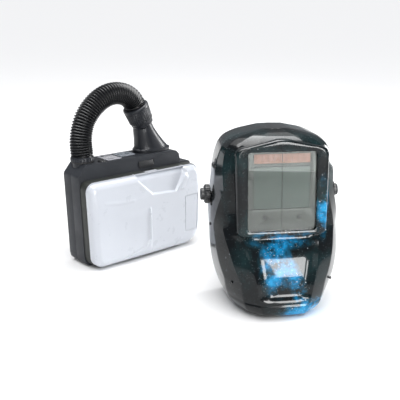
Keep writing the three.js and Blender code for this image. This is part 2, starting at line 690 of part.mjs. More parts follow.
function makeLensUnit() {
  const halfWidth = LENS.halfWidth + 4.5;
  const halfHeight = LENS.halfHeight + 4;
  const plate = rectangle(-halfWidth, halfWidth, -halfHeight, halfHeight, 5);
  addTo(helmet, 'front_cover_lens', inLensFrame(prismY(plate, -2.2, -3.8)), clear_lens);

  const glass = rectangle(-46, 46, -28, 40, 2);
  const solar = rectangle(-46, 46, 46, 61, 1);
  const sensor = (side) => circle(side * SENSORS.x, SENSORS.z, SENSORS.radius, 14);
  const frame = cut(prismY(plate, 8, -1.8), prismY(inset(glass, -GAP), 12, -6),
    prismY(inset(solar, -GAP), -0.2, -6), prismY(circle(0, TEST_BUTTON_Z, 4 + GAP), 12, 5.5),
    ...[-1, 1].map((side) => prismY(inset(sensor(side), -GAP), 0.6, -6)));
  addTo(helmet, 'adf_housing', inLensFrame(frame), soft_black);
  addTo(helmet, 'adf_lens', inLensFrame(prismY(glass, 5, -1)), lens_green);
  addTo(helmet, 'solar_cell', inLensFrame(prismY(solar, -0.5, -1.6)), solar_brown);
  ['left', 'right'].forEach((side, i) => {
    const lens = prismY(sensor(2 * i - 1), 0.3, -1.6);
    addTo(helmet, `arc_sensor_${side}`, inLensFrame(lens), lens_green);
  });
  for (const { name, x, z, radius } of ADF_KNOBS) {
    addTo(helmet, name, inLensFrame(prismY(circle(x, z, radius, 18), 14, 8 + GAP)), button_grey);
  }
  const button = prismY(circle(0, TEST_BUTTON_Z, 4, 16), 11, 7);
  addTo(helmet, 'test_button', inLensFrame(button), button_grey);
  const inner = rectangle(-50, 50, -32, 44, 4);
  addTo(helmet, 'inner_cover_lens', inLensFrame(prismY(inner, 9.6, 8 + GAP)), clear_lens);
  const retainer = cut(prismY(plate, 13, 10), prismY(rectangle(-47, 47, -58, 41, 6), 20, 0));
  addTo(helmet, 'lens_retainer', inLensFrame(retainer), soft_black);
}

// ---------- helmet: headgear ----------
function makeTensionKnobs() {
  const profile = [[0, 84], [4.6, 84], [4.6, 105.6], [15.4, 105.6], [16.4, 106.8], [16.4, 113],
    [15.2, 114.2], [10.2, 114.2], [10.2, 119.6], [9.2, 120.6], [0, 120.6]];
  ['left', 'right'].forEach((side, i) => {
    const knob = turned(profile, 20);
    knob.rotateY(i === 0 ? -Math.PI / 2 : Math.PI / 2);
    knob.translate(0, HELMET_MID_Y, PIVOT_Z);
    addTo(helmet, `tension_knob_${side}`, knob, hose_black);
  });
}

function makePivotArms() {
  ['left', 'right'].forEach((side, i) => {
    const sign = 2 * i - 1;
    const across = (x0, x1, ...rest) => box(Math.min(sign * x0, sign * x1),
      Math.max(sign * x0, sign * x1), ...rest);
    const plate = across(86.5, 89.5, HELMET_MID_Y - 14, HELMET_MID_Y + 36, PIVOT_Z - 13, PIVOT_Z + 13);
    const foot = across(81.2, 88, HELMET_MID_Y + 20, HELMET_MID_Y + 36, PIVOT_Z - 8, PIVOT_Z + 8);
    const hole = rod(5, new THREE.Vector3(sign * 80, HELMET_MID_Y, PIVOT_Z),
      new THREE.Vector3(sign * 110, HELMET_MID_Y, PIVOT_Z));
    addTo(helmet, `pivot_arm_${side}`, cut(join(plate, foot), hole), charcoal);
  });
}

function bandRing(grow, bottom, top) {
  return prismZ(oval(0, HEADBAND.y, 0, HEADBAND.halfWidth + grow, HEADBAND.halfDepth + grow, 2.3, 40),
    bottom, top);
}

function makeHeadgear() {
  const { z, height, wall } = HEADBAND;
  const [low, high] = [z - height / 2, z + height / 2];
  const band = cut(bandRing(wall, low, high), bandRing(0, low - 1, high + 1));
  addTo(helmet, 'headband', band, charcoal);

  const padding = cut(bandRing(-GAP, low + 1, high - 1), bandRing(-6, low - 2, high + 2));
  const frontHalf = box(-62, 62, 40, HEADBAND.y - 40, low - 5, high + 5);
  const rearHalf = box(-50, 50, HEADBAND.y + 60, HEADBAND.y + 120, low - 5, high + 5);
  const clip = (keep) => toGeometry(toSolid(padding).intersect(toSolid(keep)));
  addTo(helmet, 'sweatband', clip(frontHalf), soft_black);
  addTo(helmet, 'rear_pad', clip(rearHalf), soft_black);

  const strapTop = z + 67;
  const halfSpan = HEADBAND.halfWidth + wall + 4.8;
  const strap = sheet((u, v) => {
    const angle = Math.PI * (1 - u);
    return new THREE.Vector3(halfSpan * Math.cos(angle), 150 + 20 * v,
      z + (strapTop - z) * Math.sin(angle));
  }, 24, 1, 2);
  addTo(helmet, 'crown_strap', strap, charcoal);
}

function makeRatchet() {
  const y = HEADBAND.y + HEADBAND.halfDepth + HEADBAND.wall + GAP;
  const z = HEADBAND.z - 12;
  const housing = prismY(outline([[-32, z - 9, 4], [32, z - 9, 4], [32, z + 9, 4], [0, z + 20, 12],
    [-32, z + 9, 4]]), y + 12, y);
  const recess = box(-40, 40, y - 1, y + 1.2, z - 40, z + 40);
  addTo(helmet, 'ratchet_housing', cut(housing, recess), charcoal);
  const knob = join(rod(15, new THREE.Vector3(0, y + 12 + GAP, z), new THREE.Vector3(0, y + 22, z), 20),
    rod(10, new THREE.Vector3(0, y + 21, z), new THREE.Vector3(0, y + 25, z), 16));
  addTo(helmet, 'ratchet_knob', knob, hose_black);
}

// ---------- helmet: air duct and face seal ----------
function makeAirDuct() {
  const centre = [[88, 261], [125, 271], [162, 266], [203, 249], [236, 229], [252, 216]];
  const curve = new THREE.CatmullRomCurve3(centre.map(([y, z]) => new THREE.Vector3(0, y, z)));
  const thickness = 10;
  const span = (half, low, high) => [
    [-half, low], [half, low], [half, high], [-half, high],
  ].map(([x, z]) => new THREE.Vector2(x, z));
  const options = { steps: 14, extrudePath: curve };
  const outer = new THREE.ExtrudeGeometry(
    new THREE.Shape(span(28, -thickness / 2, thickness / 2)), options);
  const inner = new THREE.ExtrudeGeometry(
    new THREE.Shape(span(26, -thickness / 2 + 1.8, thickness / 2 - 1.8)), options);
  const solid = toSolid(outer).subtract(toSolid(inner));
  addTo(helmet, 'air_duct', toGeometry(solid), charcoal);
}

function makeFaceSeal() {
  const seal = sheet((u, v) => {
    const angle = Math.PI * u;
    const halfWidth = 84 - 28 * v;
    const depth = 126 - 60 * v;
    const y = HELMET_MID_Y + 2 - depth * power(Math.sin(angle), 0.8);
    return new THREE.Vector3(-halfWidth * power(Math.cos(angle), 0.8), y, 34 + 70 * v);
  }, 24, 3, 2.4);
  addTo(helmet, 'face_seal', seal, soft_black);
}

// ---------- assembly ----------
makeHousings();
makeBeltBracket();
hingePins();
makeFilterCover();
makeFilters();
makeFan();
makeBattery();
makeControls();
makePort();
makeHose();
makeCuff();
makeNozzle();

makeShell();
makeLensUnit();
makeTensionKnobs();
makePivotArms();
makeHeadgear();
makeRatchet();
makeAirDuct();
makeFaceSeal();
helmet.position.set(HELMET_PLACE.x, HELMET_PLACE.y, 0);
helmet.rotation.z = THREE.MathUtils.degToRad(HELMET_PLACE.turn);

const group = new THREE.Group();
group.add(blower, helmet);
group.position.set(SET_SHIFT.x, SET_SHIFT.y, 0);

export default group;
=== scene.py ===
"""Looks of a powered air respirator: belt blower, breathing hose and welding helmet."""
import contextlib
import json
import math

import bmesh
import bpy
import numpy as np
from mathutils import Matrix, Vector

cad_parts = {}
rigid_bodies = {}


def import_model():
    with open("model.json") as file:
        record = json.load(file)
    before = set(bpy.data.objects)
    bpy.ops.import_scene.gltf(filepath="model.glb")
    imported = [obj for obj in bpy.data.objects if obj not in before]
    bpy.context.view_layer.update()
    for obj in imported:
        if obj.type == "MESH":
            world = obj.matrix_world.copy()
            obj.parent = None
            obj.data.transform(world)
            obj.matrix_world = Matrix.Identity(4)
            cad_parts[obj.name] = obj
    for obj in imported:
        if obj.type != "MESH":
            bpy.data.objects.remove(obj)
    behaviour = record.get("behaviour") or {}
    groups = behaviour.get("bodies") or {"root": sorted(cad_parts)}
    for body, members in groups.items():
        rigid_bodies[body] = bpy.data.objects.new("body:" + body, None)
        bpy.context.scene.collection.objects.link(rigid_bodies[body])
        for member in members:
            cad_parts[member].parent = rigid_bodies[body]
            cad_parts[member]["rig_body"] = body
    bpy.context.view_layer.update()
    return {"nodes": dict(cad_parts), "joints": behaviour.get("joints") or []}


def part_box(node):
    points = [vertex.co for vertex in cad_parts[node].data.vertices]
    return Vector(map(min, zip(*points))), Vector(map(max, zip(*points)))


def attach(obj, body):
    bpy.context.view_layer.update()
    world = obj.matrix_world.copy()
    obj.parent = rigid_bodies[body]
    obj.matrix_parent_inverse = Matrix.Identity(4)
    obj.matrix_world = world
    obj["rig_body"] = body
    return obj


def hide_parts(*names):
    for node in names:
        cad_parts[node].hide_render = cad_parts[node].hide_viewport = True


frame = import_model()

nodes = frame["nodes"]
joints = {joint["name"]: joint for joint in frame["joints"]}

MM = 0.001

# ---------- driving places, taken from the frame ----------
housing_low, housing_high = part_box("rear_housing")
BLOWER = Matrix.Translation(((housing_low.x + housing_high.x) / 2, housing_high.y, 0))

tilt_axis = Vector(joints["headgear_tilt"]["axis"])
tilt_place = Vector(joints["headgear_tilt"]["pos_m"])
HELMET_MIDDLE = 110
HELMET_TURN = Matrix.Rotation(math.atan2(tilt_axis.y, tilt_axis.x), 4, "Z")
HELMET_ORIGIN = tilt_place - HELMET_TURN @ Vector((0, HELMET_MIDDLE * MM, 0))
HELMET = Matrix.Translation((HELMET_ORIGIN.x, HELMET_ORIGIN.y, 0)) @ HELMET_TURN
PIVOT_Z = tilt_place.z / MM

# the lens unit leans back inside the helmet
LENS_PLACE = (0, 26, 205)
LENS = (HELMET @ Matrix.Translation(Vector(LENS_PLACE) * MM)
        @ Matrix.Rotation(math.radians(-5), 4, "X"))

# ---------- camera and hose facts ----------
CAMERA_PLACE = (-777.2, -1165.5, 513.6)
CAMERA_YAW = 40.25
CAMERA_DOWN = 16.6
CAMERA_LENS = 63

PORT_X, PORT_Y = -105.5, -24
HOSE_ROUTE = [
    (PORT_X, 206), (PORT_X, 213.5), (-106.5, 223.5), (-107, 240.5), (-104, 259.5),
    (-96.3, 280.5), (-82, 299.5), (-63.6, 314), (-44.1, 322.5), (-23.7, 324.5), (-5.2, 320.5),
    (7.5, 313), (16.4, 302.8), (19.8, 295.5), (27.3, 279.5),
]
CUFF_TOP = Vector((19.8, PORT_Y, 295.5))
CUFF_BOTTOM = Vector((37.7, PORT_Y, 257.5))


# ---------- mesh helpers ----------
def smoothstep(low, high, value):
    """0 below low and 1 above high, with a smooth rise between them."""
    t = np.clip((value - low) / (high - low), 0, 1)
    return t * t * (3 - 2 * t)


def bent(value, power):
    """The value's size raised to power, with its sign kept."""
    return math.copysign(abs(value) ** power, value)


def turn_to(direction):
    """The rotation that takes +Z to the direction."""
    return Vector((0, 0, 1)).rotation_difference(direction)


def add_object(name, data):
    piece = bpy.data.objects.new(name, data)
    bpy.context.scene.collection.objects.link(piece)
    return piece


@contextlib.contextmanager
def editing(mesh):
    """Opens a mesh as a bmesh and writes it back."""
    work = bmesh.new()
    work.from_mesh(mesh)
    yield work
    work.to_mesh(mesh)
    work.free()


def face_forward(work):
    """Gives an open sheet one orientation, with its normals towards -Y, the front."""
    bmesh.ops.recalc_face_normals(work, faces=work.faces)
    if sum(face.normal.y * face.calc_area() for face in work.faces) > 0:
        bmesh.ops.reverse_faces(work, faces=work.faces)


def finish_mesh(mesh, material, sharp):
    """One material, smooth shading and hard edges where faces meet at more than sharp degrees."""
    mesh.materials.clear()
    mesh.materials.append(material)
    mesh.shade_smooth()
    mesh.set_sharp_from_angle(angle=math.radians(sharp))


made_pieces = []


def bake_places():
    """Puts every new piece's place into its mesh, so that its own box is the row frame's."""
    for piece in made_pieces:
        world = piece.matrix_world.copy()
        piece.data.transform(world)
        piece.matrix_world = Matrix.Identity(4)
        piece.data.update()


def add_piece(name, points, faces, material, body, place=None, sharp=32, replaces=(), slot=None):
    """A new mesh piece; points are in millimetres in the frame of place."""
    mesh = bpy.data.meshes.new(name)
    scaled = [tuple(value * MM for value in point) for point in points]
    mesh.from_pydata(scaled, [], faces)
    with editing(mesh) as work:
        bmesh.ops.recalc_face_normals(work, faces=work.faces)
    finish_mesh(mesh, material, sharp)
    piece = add_object(name, mesh)
    piece.matrix_world = place if place is not None else Matrix.Identity(4)
    made_pieces.append(piece)
    settle(piece, body, replaces)
    return piece


def settle(piece, body, replaces=()):
    """Puts a piece on its body and hides the nodes it stands for."""
    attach(piece, body)
    if replaces:
        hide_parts(*replaces)


def grid_faces(rows, columns, wrap_rows=False, wrap_columns=False):
    """Quads over a grid of points stored row by row."""
    faces = []
    for row in range(rows if wrap_rows else rows - 1):
        following = (row + 1) % rows
        for column in range(columns if wrap_columns else columns - 1):
            side = (column + 1) % columns
            faces.append((row * columns + column, row * columns + side,
                          following * columns + side, following * columns + column))
    return faces


def ring_piece(name, rings, material, body, place=None, closed=False, caps=True, **rest):
    """A loft through rings of equally many points, capped at both ends or closed on itself."""
    count = len(rings[0])
    points = [tuple(point) for ring in rings for point in ring]
    faces = grid_faces(len(rings), count, wrap_rows=closed, wrap_columns=True)
    if caps and not closed:
        faces.append(tuple(reversed(range(count))))
        faces.append(tuple(range((len(rings) - 1) * count, len(rings) * count)))
    return add_piece(name, points, faces, material, body, place, **rest)


def turned(profile, sides, ribs=0, rib_depth=0.0, rib_span=None):
    """Rings of a lathe about +Z; ribs push the points within rib_span outward."""
    rings = []
    for radius, height in profile:
        ring = []
        for i in range(sides):
            angle = 2 * math.pi * i / sides
            grown = radius
            if ribs and rib_span and rib_span[0] <= height <= rib_span[1]:
                grown += rib_depth * (1 if (i * ribs * 2 // sides) % 2 else 0)
            ring.append(Vector((grown * math.cos(angle), grown * math.sin(angle), height)))
        rings.append(ring)
    return rings


def catmull(points, count):
    """Centripetal Catmull-Rom through the points, at evenly spaced lengths."""
    points = [Vector(point) for point in points]
    points = [points[0] * 2 - points[1]] + points + [points[-1] * 2 - points[-2]]
    dense = []
    for i in range(1, len(points) - 2):
        p0, p1, p2, p3 = points[i - 1:i + 3]
        t0 = 0.0
        t1 = t0 + (p1 - p0).length ** 0.5
        t2 = t1 + (p2 - p1).length ** 0.5
        t3 = t2 + (p3 - p2).length ** 0.5
        for step in range(24):
            t = t1 + (t2 - t1) * step / 24
            a1 = p0 * ((t1 - t) / (t1 - t0)) + p1 * ((t - t0) / (t1 - t0))
            a2 = p1 * ((t2 - t) / (t2 - t1)) + p2 * ((t - t1) / (t2 - t1))
            a3 = p2 * ((t3 - t) / (t3 - t2)) + p3 * ((t - t2) / (t3 - t2))
            b1 = a1 * ((t2 - t) / (t2 - t0)) + a2 * ((t - t0) / (t2 - t0))
            b2 = a2 * ((t3 - t) / (t3 - t1)) + a3 * ((t - t1) / (t3 - t1))
            dense.append(b1 * ((t2 - t) / (t2 - t1)) + b2 * ((t - t1) / (t2 - t1)))
    dense.append(points[-2])
    lengths = np.cumsum([0] + [(b - a).length for a, b in zip(dense, dense[1:])])
    wanted = np.linspace(0, lengths[-1], count)
    table = np.array([tuple(point) for point in dense])
    spaced = np.stack([np.interp(wanted, lengths, table[:, k]) for k in range(3)], axis=1)
    return [Vector(point) for point in spaced], float(lengths[-1])


def rounded_outline(corners, arc_steps=8):
    """Points round a polygon whose corners are (x, z, radius)."""
    points = []
    count = len(corners)
    for i, (x, z, radius) in enumerate(corners):
        corner = Vector((x, z))
        before = (Vector(corners[i - 1][:2]) - corner).normalized()
        after = (Vector(corners[(i + 1) % count][:2]) - corner).normalized()
        if radius <= 0:
            points.append(corner)
            continue
        half = before.angle(after) / 2
        reach = radius / math.tan(half)
        centre = corner + (before + after).normalized() * radius / math.sin(half)
        first = corner + before * reach - centre
        turn = (corner + after * reach - centre).angle_signed(first)
        for step in range(arc_steps + 1):
            spin = Matrix.Rotation(turn * step / arc_steps, 2)
            points.append(centre + spin @ first)
    return points


def box_outline(left, low, right, high, radius, arc_steps=8):
    """A rectangle whose four corners have the same radius."""
    return rounded_outline([(left, low, radius), (right, low, radius), (right, high, radius),
                            (left, high, radius)], arc_steps)


def radial_ring(outline, angles, centre=(0, 0)):
    """Where rays from the centre meet the outline, one point for each angle."""
    points = np.array([tuple(point) for point in outline]) - np.array(centre)
    bearing = np.unwrap(np.arctan2(points[:, 1], points[:, 0]))
    if bearing[-1] < bearing[0]:
        points = points[::-1]
        bearing = np.unwrap(np.arctan2(points[:, 1], points[:, 0]))
    ends = np.roll(points, -1, axis=0)
    ring = []
    for angle in angles:
        ray = np.array([math.cos(angle), math.sin(angle)])
        best = 0.0
        edge = ends - points
        cross = ray[0] * edge[:, 1] - ray[1] * edge[:, 0]
        with np.errstate(divide="ignore", invalid="ignore"):
            along = (points[:, 0] * edge[:, 1] - points[:, 1] * edge[:, 0]) / cross
            share = (points[:, 0] * ray[1] - points[:, 1] * ray[0]) / cross
        hits = along[(along > 0) & (share >= -1e-6) & (share <= 1 + 1e-6)]
        if len(hits):
            best = float(hits.max())
        ring.append(np.array(centre) + ray * best)
    return np.array(ring)


def apply_modifiers(piece):
    """Makes the modified shape the piece's own mesh."""
    bpy.context.view_layer.update()
    shape = bpy.data.meshes.new_from_object(
        piece.evaluated_get(bpy.context.evaluated_depsgraph_get()))
    piece.modifiers.clear()
    piece.data = shape


def add_wall(piece, thickness, inner_slot=0):
    """Gives a skin its wall, inward; inner_slot shifts the material of the inner face."""
    wall = piece.modifiers.new("wall", "SOLIDIFY")
    wall.thickness = thickness * MM
    wall.offset = -1
    wall.material_offset = inner_slot
    apply_modifiers(piece)


def refine(node, material, bevel=0.6, segments=2, sharp=32):
    """The CAD node's shape with rounded edges, standing in for the node."""
    mesh = nodes[node].data.copy()
    with editing(mesh) as work:
        bmesh.ops.remove_doubles(work, verts=work.verts, dist=1e-6)
        bmesh.ops.dissolve_limit(work, angle_limit=math.radians(1), verts=work.verts,
                                 edges=work.edges)
    piece = add_object(node + "_finish", mesh)
    rounding = piece.modifiers.new("rounding", "BEVEL")
    rounding.width = bevel * MM
    rounding.segments = segments
    rounding.limit_method = "ANGLE"
    rounding.angle_limit = math.radians(sharp)
    apply_modifiers(piece)
    finish_mesh(piece.data, material, 40)
    settle(piece, nodes[node]["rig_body"], [node])
    return piece


def dress(node, material, sharp=30):
    """Keeps the CAD node and gives it a better material."""
    finish_mesh(nodes[node].data, material, sharp)


# ---------- materials ----------
def start_material(name):
    """A new material, its tree, its shader and the coordinates its patterns use."""
    material = bpy.data.materials.new(name)
    material.use_nodes = True
    tree = material.node_tree
    shader = next(node for node in tree.nodes if node.type == "BSDF_PRINCIPLED")
    place = tree.nodes.new("ShaderNodeTexCoord")
    return material, tree, shader, place.outputs["Object"]


def put(node, **values):
    """Sets a node's inputs; an underscore in a keyword stands for a space."""
    for name, value in values.items():
        node.inputs[name.replace("_", " ")].default_value = value


def drive(tree, shader, **values):
    """Links values to a shader's inputs, which are named as in put."""
    for name, value in values.items():
        tree.links.new(value, shader.inputs[name.replace("_", " ")])


def noise(tree, place, scale, detail=3.0, roughness=0.5):
    node = tree.nodes.new("ShaderNodeTexNoise")
    put(node, Scale=scale, Detail=detail, Roughness=roughness)
    drive(tree, node, Vector=place)
    return node.outputs["Fac"]


def wave(tree, place, direction, scale, distortion=0.0):
    """Straight bands across one direction."""
    node = tree.nodes.new("ShaderNodeTexWave")
    node.bands_direction = direction
    put(node, Scale=scale, Distortion=distortion)
    drive(tree, node, Vector=place)
    return node.outputs["Fac"]


def ramp(tree, value, stops):
    """Colours along a value; stops are (position, colour)."""
    node = tree.nodes.new("ShaderNodeValToRGB")
    while len(node.color_ramp.elements) < len(stops):
        node.color_ramp.elements.new(0.5)
    for element, (position, colour) in zip(node.color_ramp.elements, stops):
        element.position = position
        element.color = (*colour, 1)
    tree.links.new(value, node.inputs["Fac"])
    return node.outputs["Color"]


def level(tree, value, low, high, from_low=0.0, from_high=1.0):
    """The value carried from its own range to low and high."""
    node = tree.nodes.new("ShaderNodeMapRange")
    put(node, From_Min=from_low, From_Max=from_high, To_Min=low, To_Max=high)
    drive(tree, node, Value=value)
    return node.outputs["Result"]


def math_node(tree, operation, first, second):
    node = tree.nodes.new("ShaderNodeMath")
    node.operation = operation
    for socket, value in zip(node.inputs, (first, second)):
        if isinstance(value, (int, float)):
            socket.default_value = value
        else:
            tree.links.new(value, socket)
    return node.outputs["Value"]


def mix_colour(tree, share, first, second):
    node = tree.nodes.new("ShaderNodeMix")
    node.data_type = "RGBA"
    tree.links.new(share, node.inputs["Factor"])
    for socket, value in ((node.inputs["A"], first), (node.inputs["B"], second)):
        target = [s for s in node.inputs if s.name == socket.name and s.type == "RGBA"][0]
        if isinstance(value, tuple):
            target.default_value = (*value, 1)
        else:
            tree.links.new(value, target)
    return [s for s in node.outputs if s.type == "RGBA"][0]


def bump(tree, shader, height, distance, strength=1.0):
    node = tree.nodes.new("ShaderNodeBump")
    put(node, Strength=strength, Distance=distance)
    drive(tree, node, Height=height)
    drive(tree, shader, Normal=node.outputs["Normal"])


def shaded(colour, low, high):
    """A ramp's two stops: the colour times low and the colour times high."""
    return [(0.3, tuple(value * low for value in colour)),
            (0.7, tuple(min(1, value * high) for value in colour))]


def moulded(name, colour, roughness, grain=900, depth=0.00008, spread=0.25, coat=0.0,
            specular=0.5):
    """A moulded polymer: fine spark-eroded grain, faint shade and gloss variation."""
    material, tree, shader, place = start_material(name)
    cloud = noise(tree, place, 9, 4)
    rub = noise(tree, place, 40, 5, 0.6)
    drive(tree, shader, Base_Color=ramp(tree, cloud, shaded(colour, 1 - spread, 1 + spread)),
          Roughness=level(tree, rub, roughness * 0.85, roughness * 1.15, 0.3, 0.7))
    put(shader, Specular_IOR_Level=specular)
    if coat:
        put(shader, Coat_Weight=coat, Coat_Roughness=0.08)
    bump(tree, shader, noise(tree, place, grain, 2), depth, 0.5)
    return material


def metal(name, colour, roughness):
    """Brushed metal: noise drawn out along x."""
    material, tree, shader, place = start_material(name)
    stretch = tree.nodes.new("ShaderNodeMapping")
    put(stretch, Scale=(30, 900, 900))
    drive(tree, stretch, Vector=place)
    lines = noise(tree, stretch.outputs["Vector"], 1, 2)
    dull = tuple(value * 0.85 for value in colour)
    put(shader, Metallic=1)
    drive(tree, shader, Roughness=level(tree, lines, roughness * 0.7, roughness * 1.4),
          Base_Color=ramp(tree, lines, [(0.2, dull), (0.8, colour)]))
    return material


def woven(name, colour, threads=900, sheen=0.3):
    """Cloth: two crossing sets of threads, with a painted highlight where they cross, over a soft
    shade variation.
    """
    material, tree, shader, place = start_material(name)
    bands = [wave(tree, place, direction, threads / 6.28, 0.6) for direction in ("X", "Z")]
    weave = math_node(tree, "MULTIPLY", bands[0], bands[1])
    # painted highlight: the thread crossings, which the bump raises, are coloured lighter
    light = tuple(value * 1.8 for value in colour)
    drive(tree, shader, Base_Color=ramp(tree, weave, [(0.0, colour), (1.0, light)]))
    put(shader, Roughness=0.9, Sheen_Weight=sheen, Sheen_Roughness=0.5)
    fuzz = math_node(tree, "ADD", weave, noise(tree, place, 300, 3))
    bump(tree, shader, fuzz, 0.0003, 0.7)
    return material


def clear_plate(name, colour, roughness=0.0):
    """A see-through plate with a barely uneven tint."""
    material, tree, shader, place = start_material(name)
    tint = noise(tree, place, 12, 2)
    drive(tree, shader, Base_Color=ramp(tree, tint, shaded(colour, 0.97, 1)))
    put(shader, Transmission_Weight=1, IOR=1.45, Roughness=roughness)
    return material


def glazing(name, colour, roughness):
    """Smooth dark glass with a faint clouding of its tint."""
    material, tree, shader, place = start_material(name)
    cloud = noise(tree, place, 14, 3)
    drive(tree, shader, Base_Color=ramp(tree, cloud, shaded(colour, 0.9, 1.12)))
    put(shader, Roughness=roughness, Coat_Weight=0.7, Coat_Roughness=0.03)
    return material


def separate(tree, place):
    node = tree.nodes.new("ShaderNodeSeparateXYZ")
    tree.links.new(place, node.inputs["Vector"])
    return node.outputs


def blob(tree, axes, centre, radii, lean=0.0):
    """1 at the centre of a leaning ellipse in the x, z plane, falling to 0 at its edge."""
    across = math_node(tree, "SUBTRACT", axes["X"], centre[0] * MM)
    up = math_node(tree, "SUBTRACT", axes["Z"], centre[1] * MM)
    c, s = math.cos(lean), math.sin(lean)
    first = math_node(tree, "ADD", math_node(tree, "MULTIPLY", across, c / (radii[0] * MM)),
                      math_node(tree, "MULTIPLY", up, s / (radii[0] * MM)))
    second = math_node(tree, "ADD", math_node(tree, "MULTIPLY", across, -s / (radii[1] * MM)),
                       math_node(tree, "MULTIPLY", up, c / (radii[1] * MM)))
    square = math_node(tree, "ADD", math_node(tree, "MULTIPLY", first, first),
                       math_node(tree, "MULTIPLY", second, second))
    return level(tree, square, 1, 0, 0.05, 1.4)


def helmet_place(tree, place):
    """The helmet's own coordinates: x across, y from front to back, z up."""
    node = tree.nodes.new("ShaderNodeMapping")
    node.vector_type = "TEXTURE"
    put(node, Location=HELMET.to_translation(), Rotation=HELMET.to_euler())
    drive(tree, node, Vector=place)
    return node.outputs["Vector"]


def night_print(name):
    """Glossy film printed with a generic night sky: dark teal, blue clouds and small stars."""
    material, tree, shader, place = start_material(name)
    place = helmet_place(tree, place)
    axes = separate(tree, place)
    cloud = noise(tree, place, 30, 9, 0.66)
    drift = noise(tree, place, 13, 6, 0.6)
    mask = blob(tree, axes, (-14, 88), (27, 48))
    for centre, radii, lean in (((22, 54), (15, 84), 0.42), ((69, 178), (14, 52), 0.0),
                                ((0, 128), (56, 16), 0.0), ((44, 10), (52, 26), 0.0)):
        mask = math_node(tree, "MAXIMUM", mask, blob(tree, axes, centre, radii, lean))
    glow = math_node(tree, "MULTIPLY", mask, level(tree, cloud, 0.0, 1.35, 0.40, 0.64))
    sky = ramp(tree, glow, [(0.0, (0.0025, 0.004, 0.005)), (0.18, (0.003, 0.020, 0.030)),
                            (0.45, (0.003, 0.085, 0.17)), (0.75, (0.004, 0.20, 0.43)),
                            (1.0, (0.012, 0.29, 0.57))])
    haze = ramp(tree, drift, [(0.46, (0.0, 0.0, 0.0)), (0.72, (0.008, 0.03, 0.032))])
    add = tree.nodes.new("ShaderNodeMix")
    add.data_type = "RGBA"
    add.blend_type = "ADD"
    put(add, Factor=1)
    colours = [socket for socket in add.inputs if socket.type == "RGBA"]
    tree.links.new(sky, colours[0])
    tree.links.new(haze, colours[1])
    painted = [socket for socket in add.outputs if socket.type == "RGBA"][0]
    reach = level(tree, mask, 0.22, 1.0, 0.0, 0.5)
    for scale, size in ((330, 0.14), (64, 0.08)):
        cells = tree.nodes.new("ShaderNodeTexVoronoi")
        put(cells, Scale=scale)
        drive(tree, cells, Vector=place)
        star = level(tree, cells.outputs["Distance"], 1, 0, size * 0.4, size)
        star = math_node(tree, "MULTIPLY", star, reach)
        painted = mix_colour(tree, star, painted, (0.8, 0.93, 1.0))
    rub = noise(tree, place, 60, 5)
    drive(tree, shader, Base_Color=painted, Roughness=level(tree, rub, 0.10, 0.22))
    put(shader, Specular_IOR_Level=0.12, Coat_Weight=0.38, Coat_Roughness=0.02)
    bump(tree, shader, noise(tree, place, 700, 2), 0.00002, 0.1)
    return material


def solar_cell_material(name):
    """The red-brown solar strip with its thin dark lines."""
    material, tree, shader, place = start_material(name)
    lines = ramp(tree, wave(tree, place, "X", 38), [
        (0.0, (0.24, 0.085, 0.05)), (0.1, (0.33, 0.125, 0.08)), (1.0, (0.36, 0.14, 0.09))])
    drive(tree, shader, Base_Color=lines,
          Roughness=level(tree, noise(tree, place, 50), 0.2, 0.35))
    put(shader, Coat_Weight=0.6)
    return material


def paper(name):
    """Pleated filter paper, with painted shade: darker in the folds and lighter on the ridges of
    its pleats.
    """
    material, tree, shader, place = start_material(name)
    folds = wave(tree, place, "X", 55)
    # painted shade: the colour follows the same folds as the bump, dark in the valleys and light on
    # the ridges
    painted_fold_shade = ramp(tree, folds, [(0.0, (0.45, 0.44, 0.40)), (1.0, (0.80, 0.79, 0.74))])
    drive(tree, shader, Base_Color=painted_fold_shade)
    put(shader, Roughness=0.95)
    bump(tree, shader, folds, 0.0015, 0.8)
    return material


charcoal = moulded("charcoal_plastic", (0.028, 0.031, 0.037), 0.46, specular=0.22)
frame_charcoal = moulded("frame_plastic", (0.026, 0.029, 0.026), 0.48, specular=0.3)
cover_white = moulded("white_moulding", (0.585, 0.612, 0.662), 0.30, grain=500, spread=0.03,
                      coat=0.25)
hose_black = moulded("hose_polymer", (0.005, 0.0055, 0.0065), 0.30, grain=1400, spread=0.2,
                     specular=0.4)
cuff_black = moulded("cuff_polymer", (0.017, 0.019, 0.024), 0.34, spread=0.2, specular=0.28)
trim_black = moulded("trim_polymer", (0.014, 0.015, 0.017), 0.42)
panel_grey = moulded("label_film", (0.48, 0.48, 0.52), 0.28, grain=300, spread=0.05, coat=0.4)
band_grey = moulded("label_band", (0.62, 0.62, 0.64), 0.28, grain=300, spread=0.05, coat=0.4)
pad_grey = moulded("key_pad", (0.25, 0.275, 0.31), 0.45, spread=0.08)
key_grey = moulded("soft_key", (0.13, 0.155, 0.18), 0.5, spread=0.12)
rubber = moulded("soft_rubber", (0.012, 0.012, 0.013), 0.65)
board = moulded("solder_mask", (0.02, 0.12, 0.06), 0.35)
steel = metal("bright_steel", (0.62, 0.63, 0.65), 0.28)
cloth = woven("black_cloth", (0.012, 0.012, 0.014))
pad_cloth = woven("pad_cloth", (0.022, 0.022, 0.026), threads=600)
shell_print = night_print("printed_shell")
clear = clear_plate("clear_polycarbonate", (0.93, 0.97, 0.95))
filter_glass = glazing("filter_glass", (0.070, 0.090, 0.079), 0.08)
lens_frame = glazing("lens_frame", (0.060, 0.062, 0.055), 0.16)
lens_line = glazing("lens_line", (0.012, 0.012, 0.012), 0.2)
solar = solar_cell_material("solar_strip")
media = paper("pleated_media")


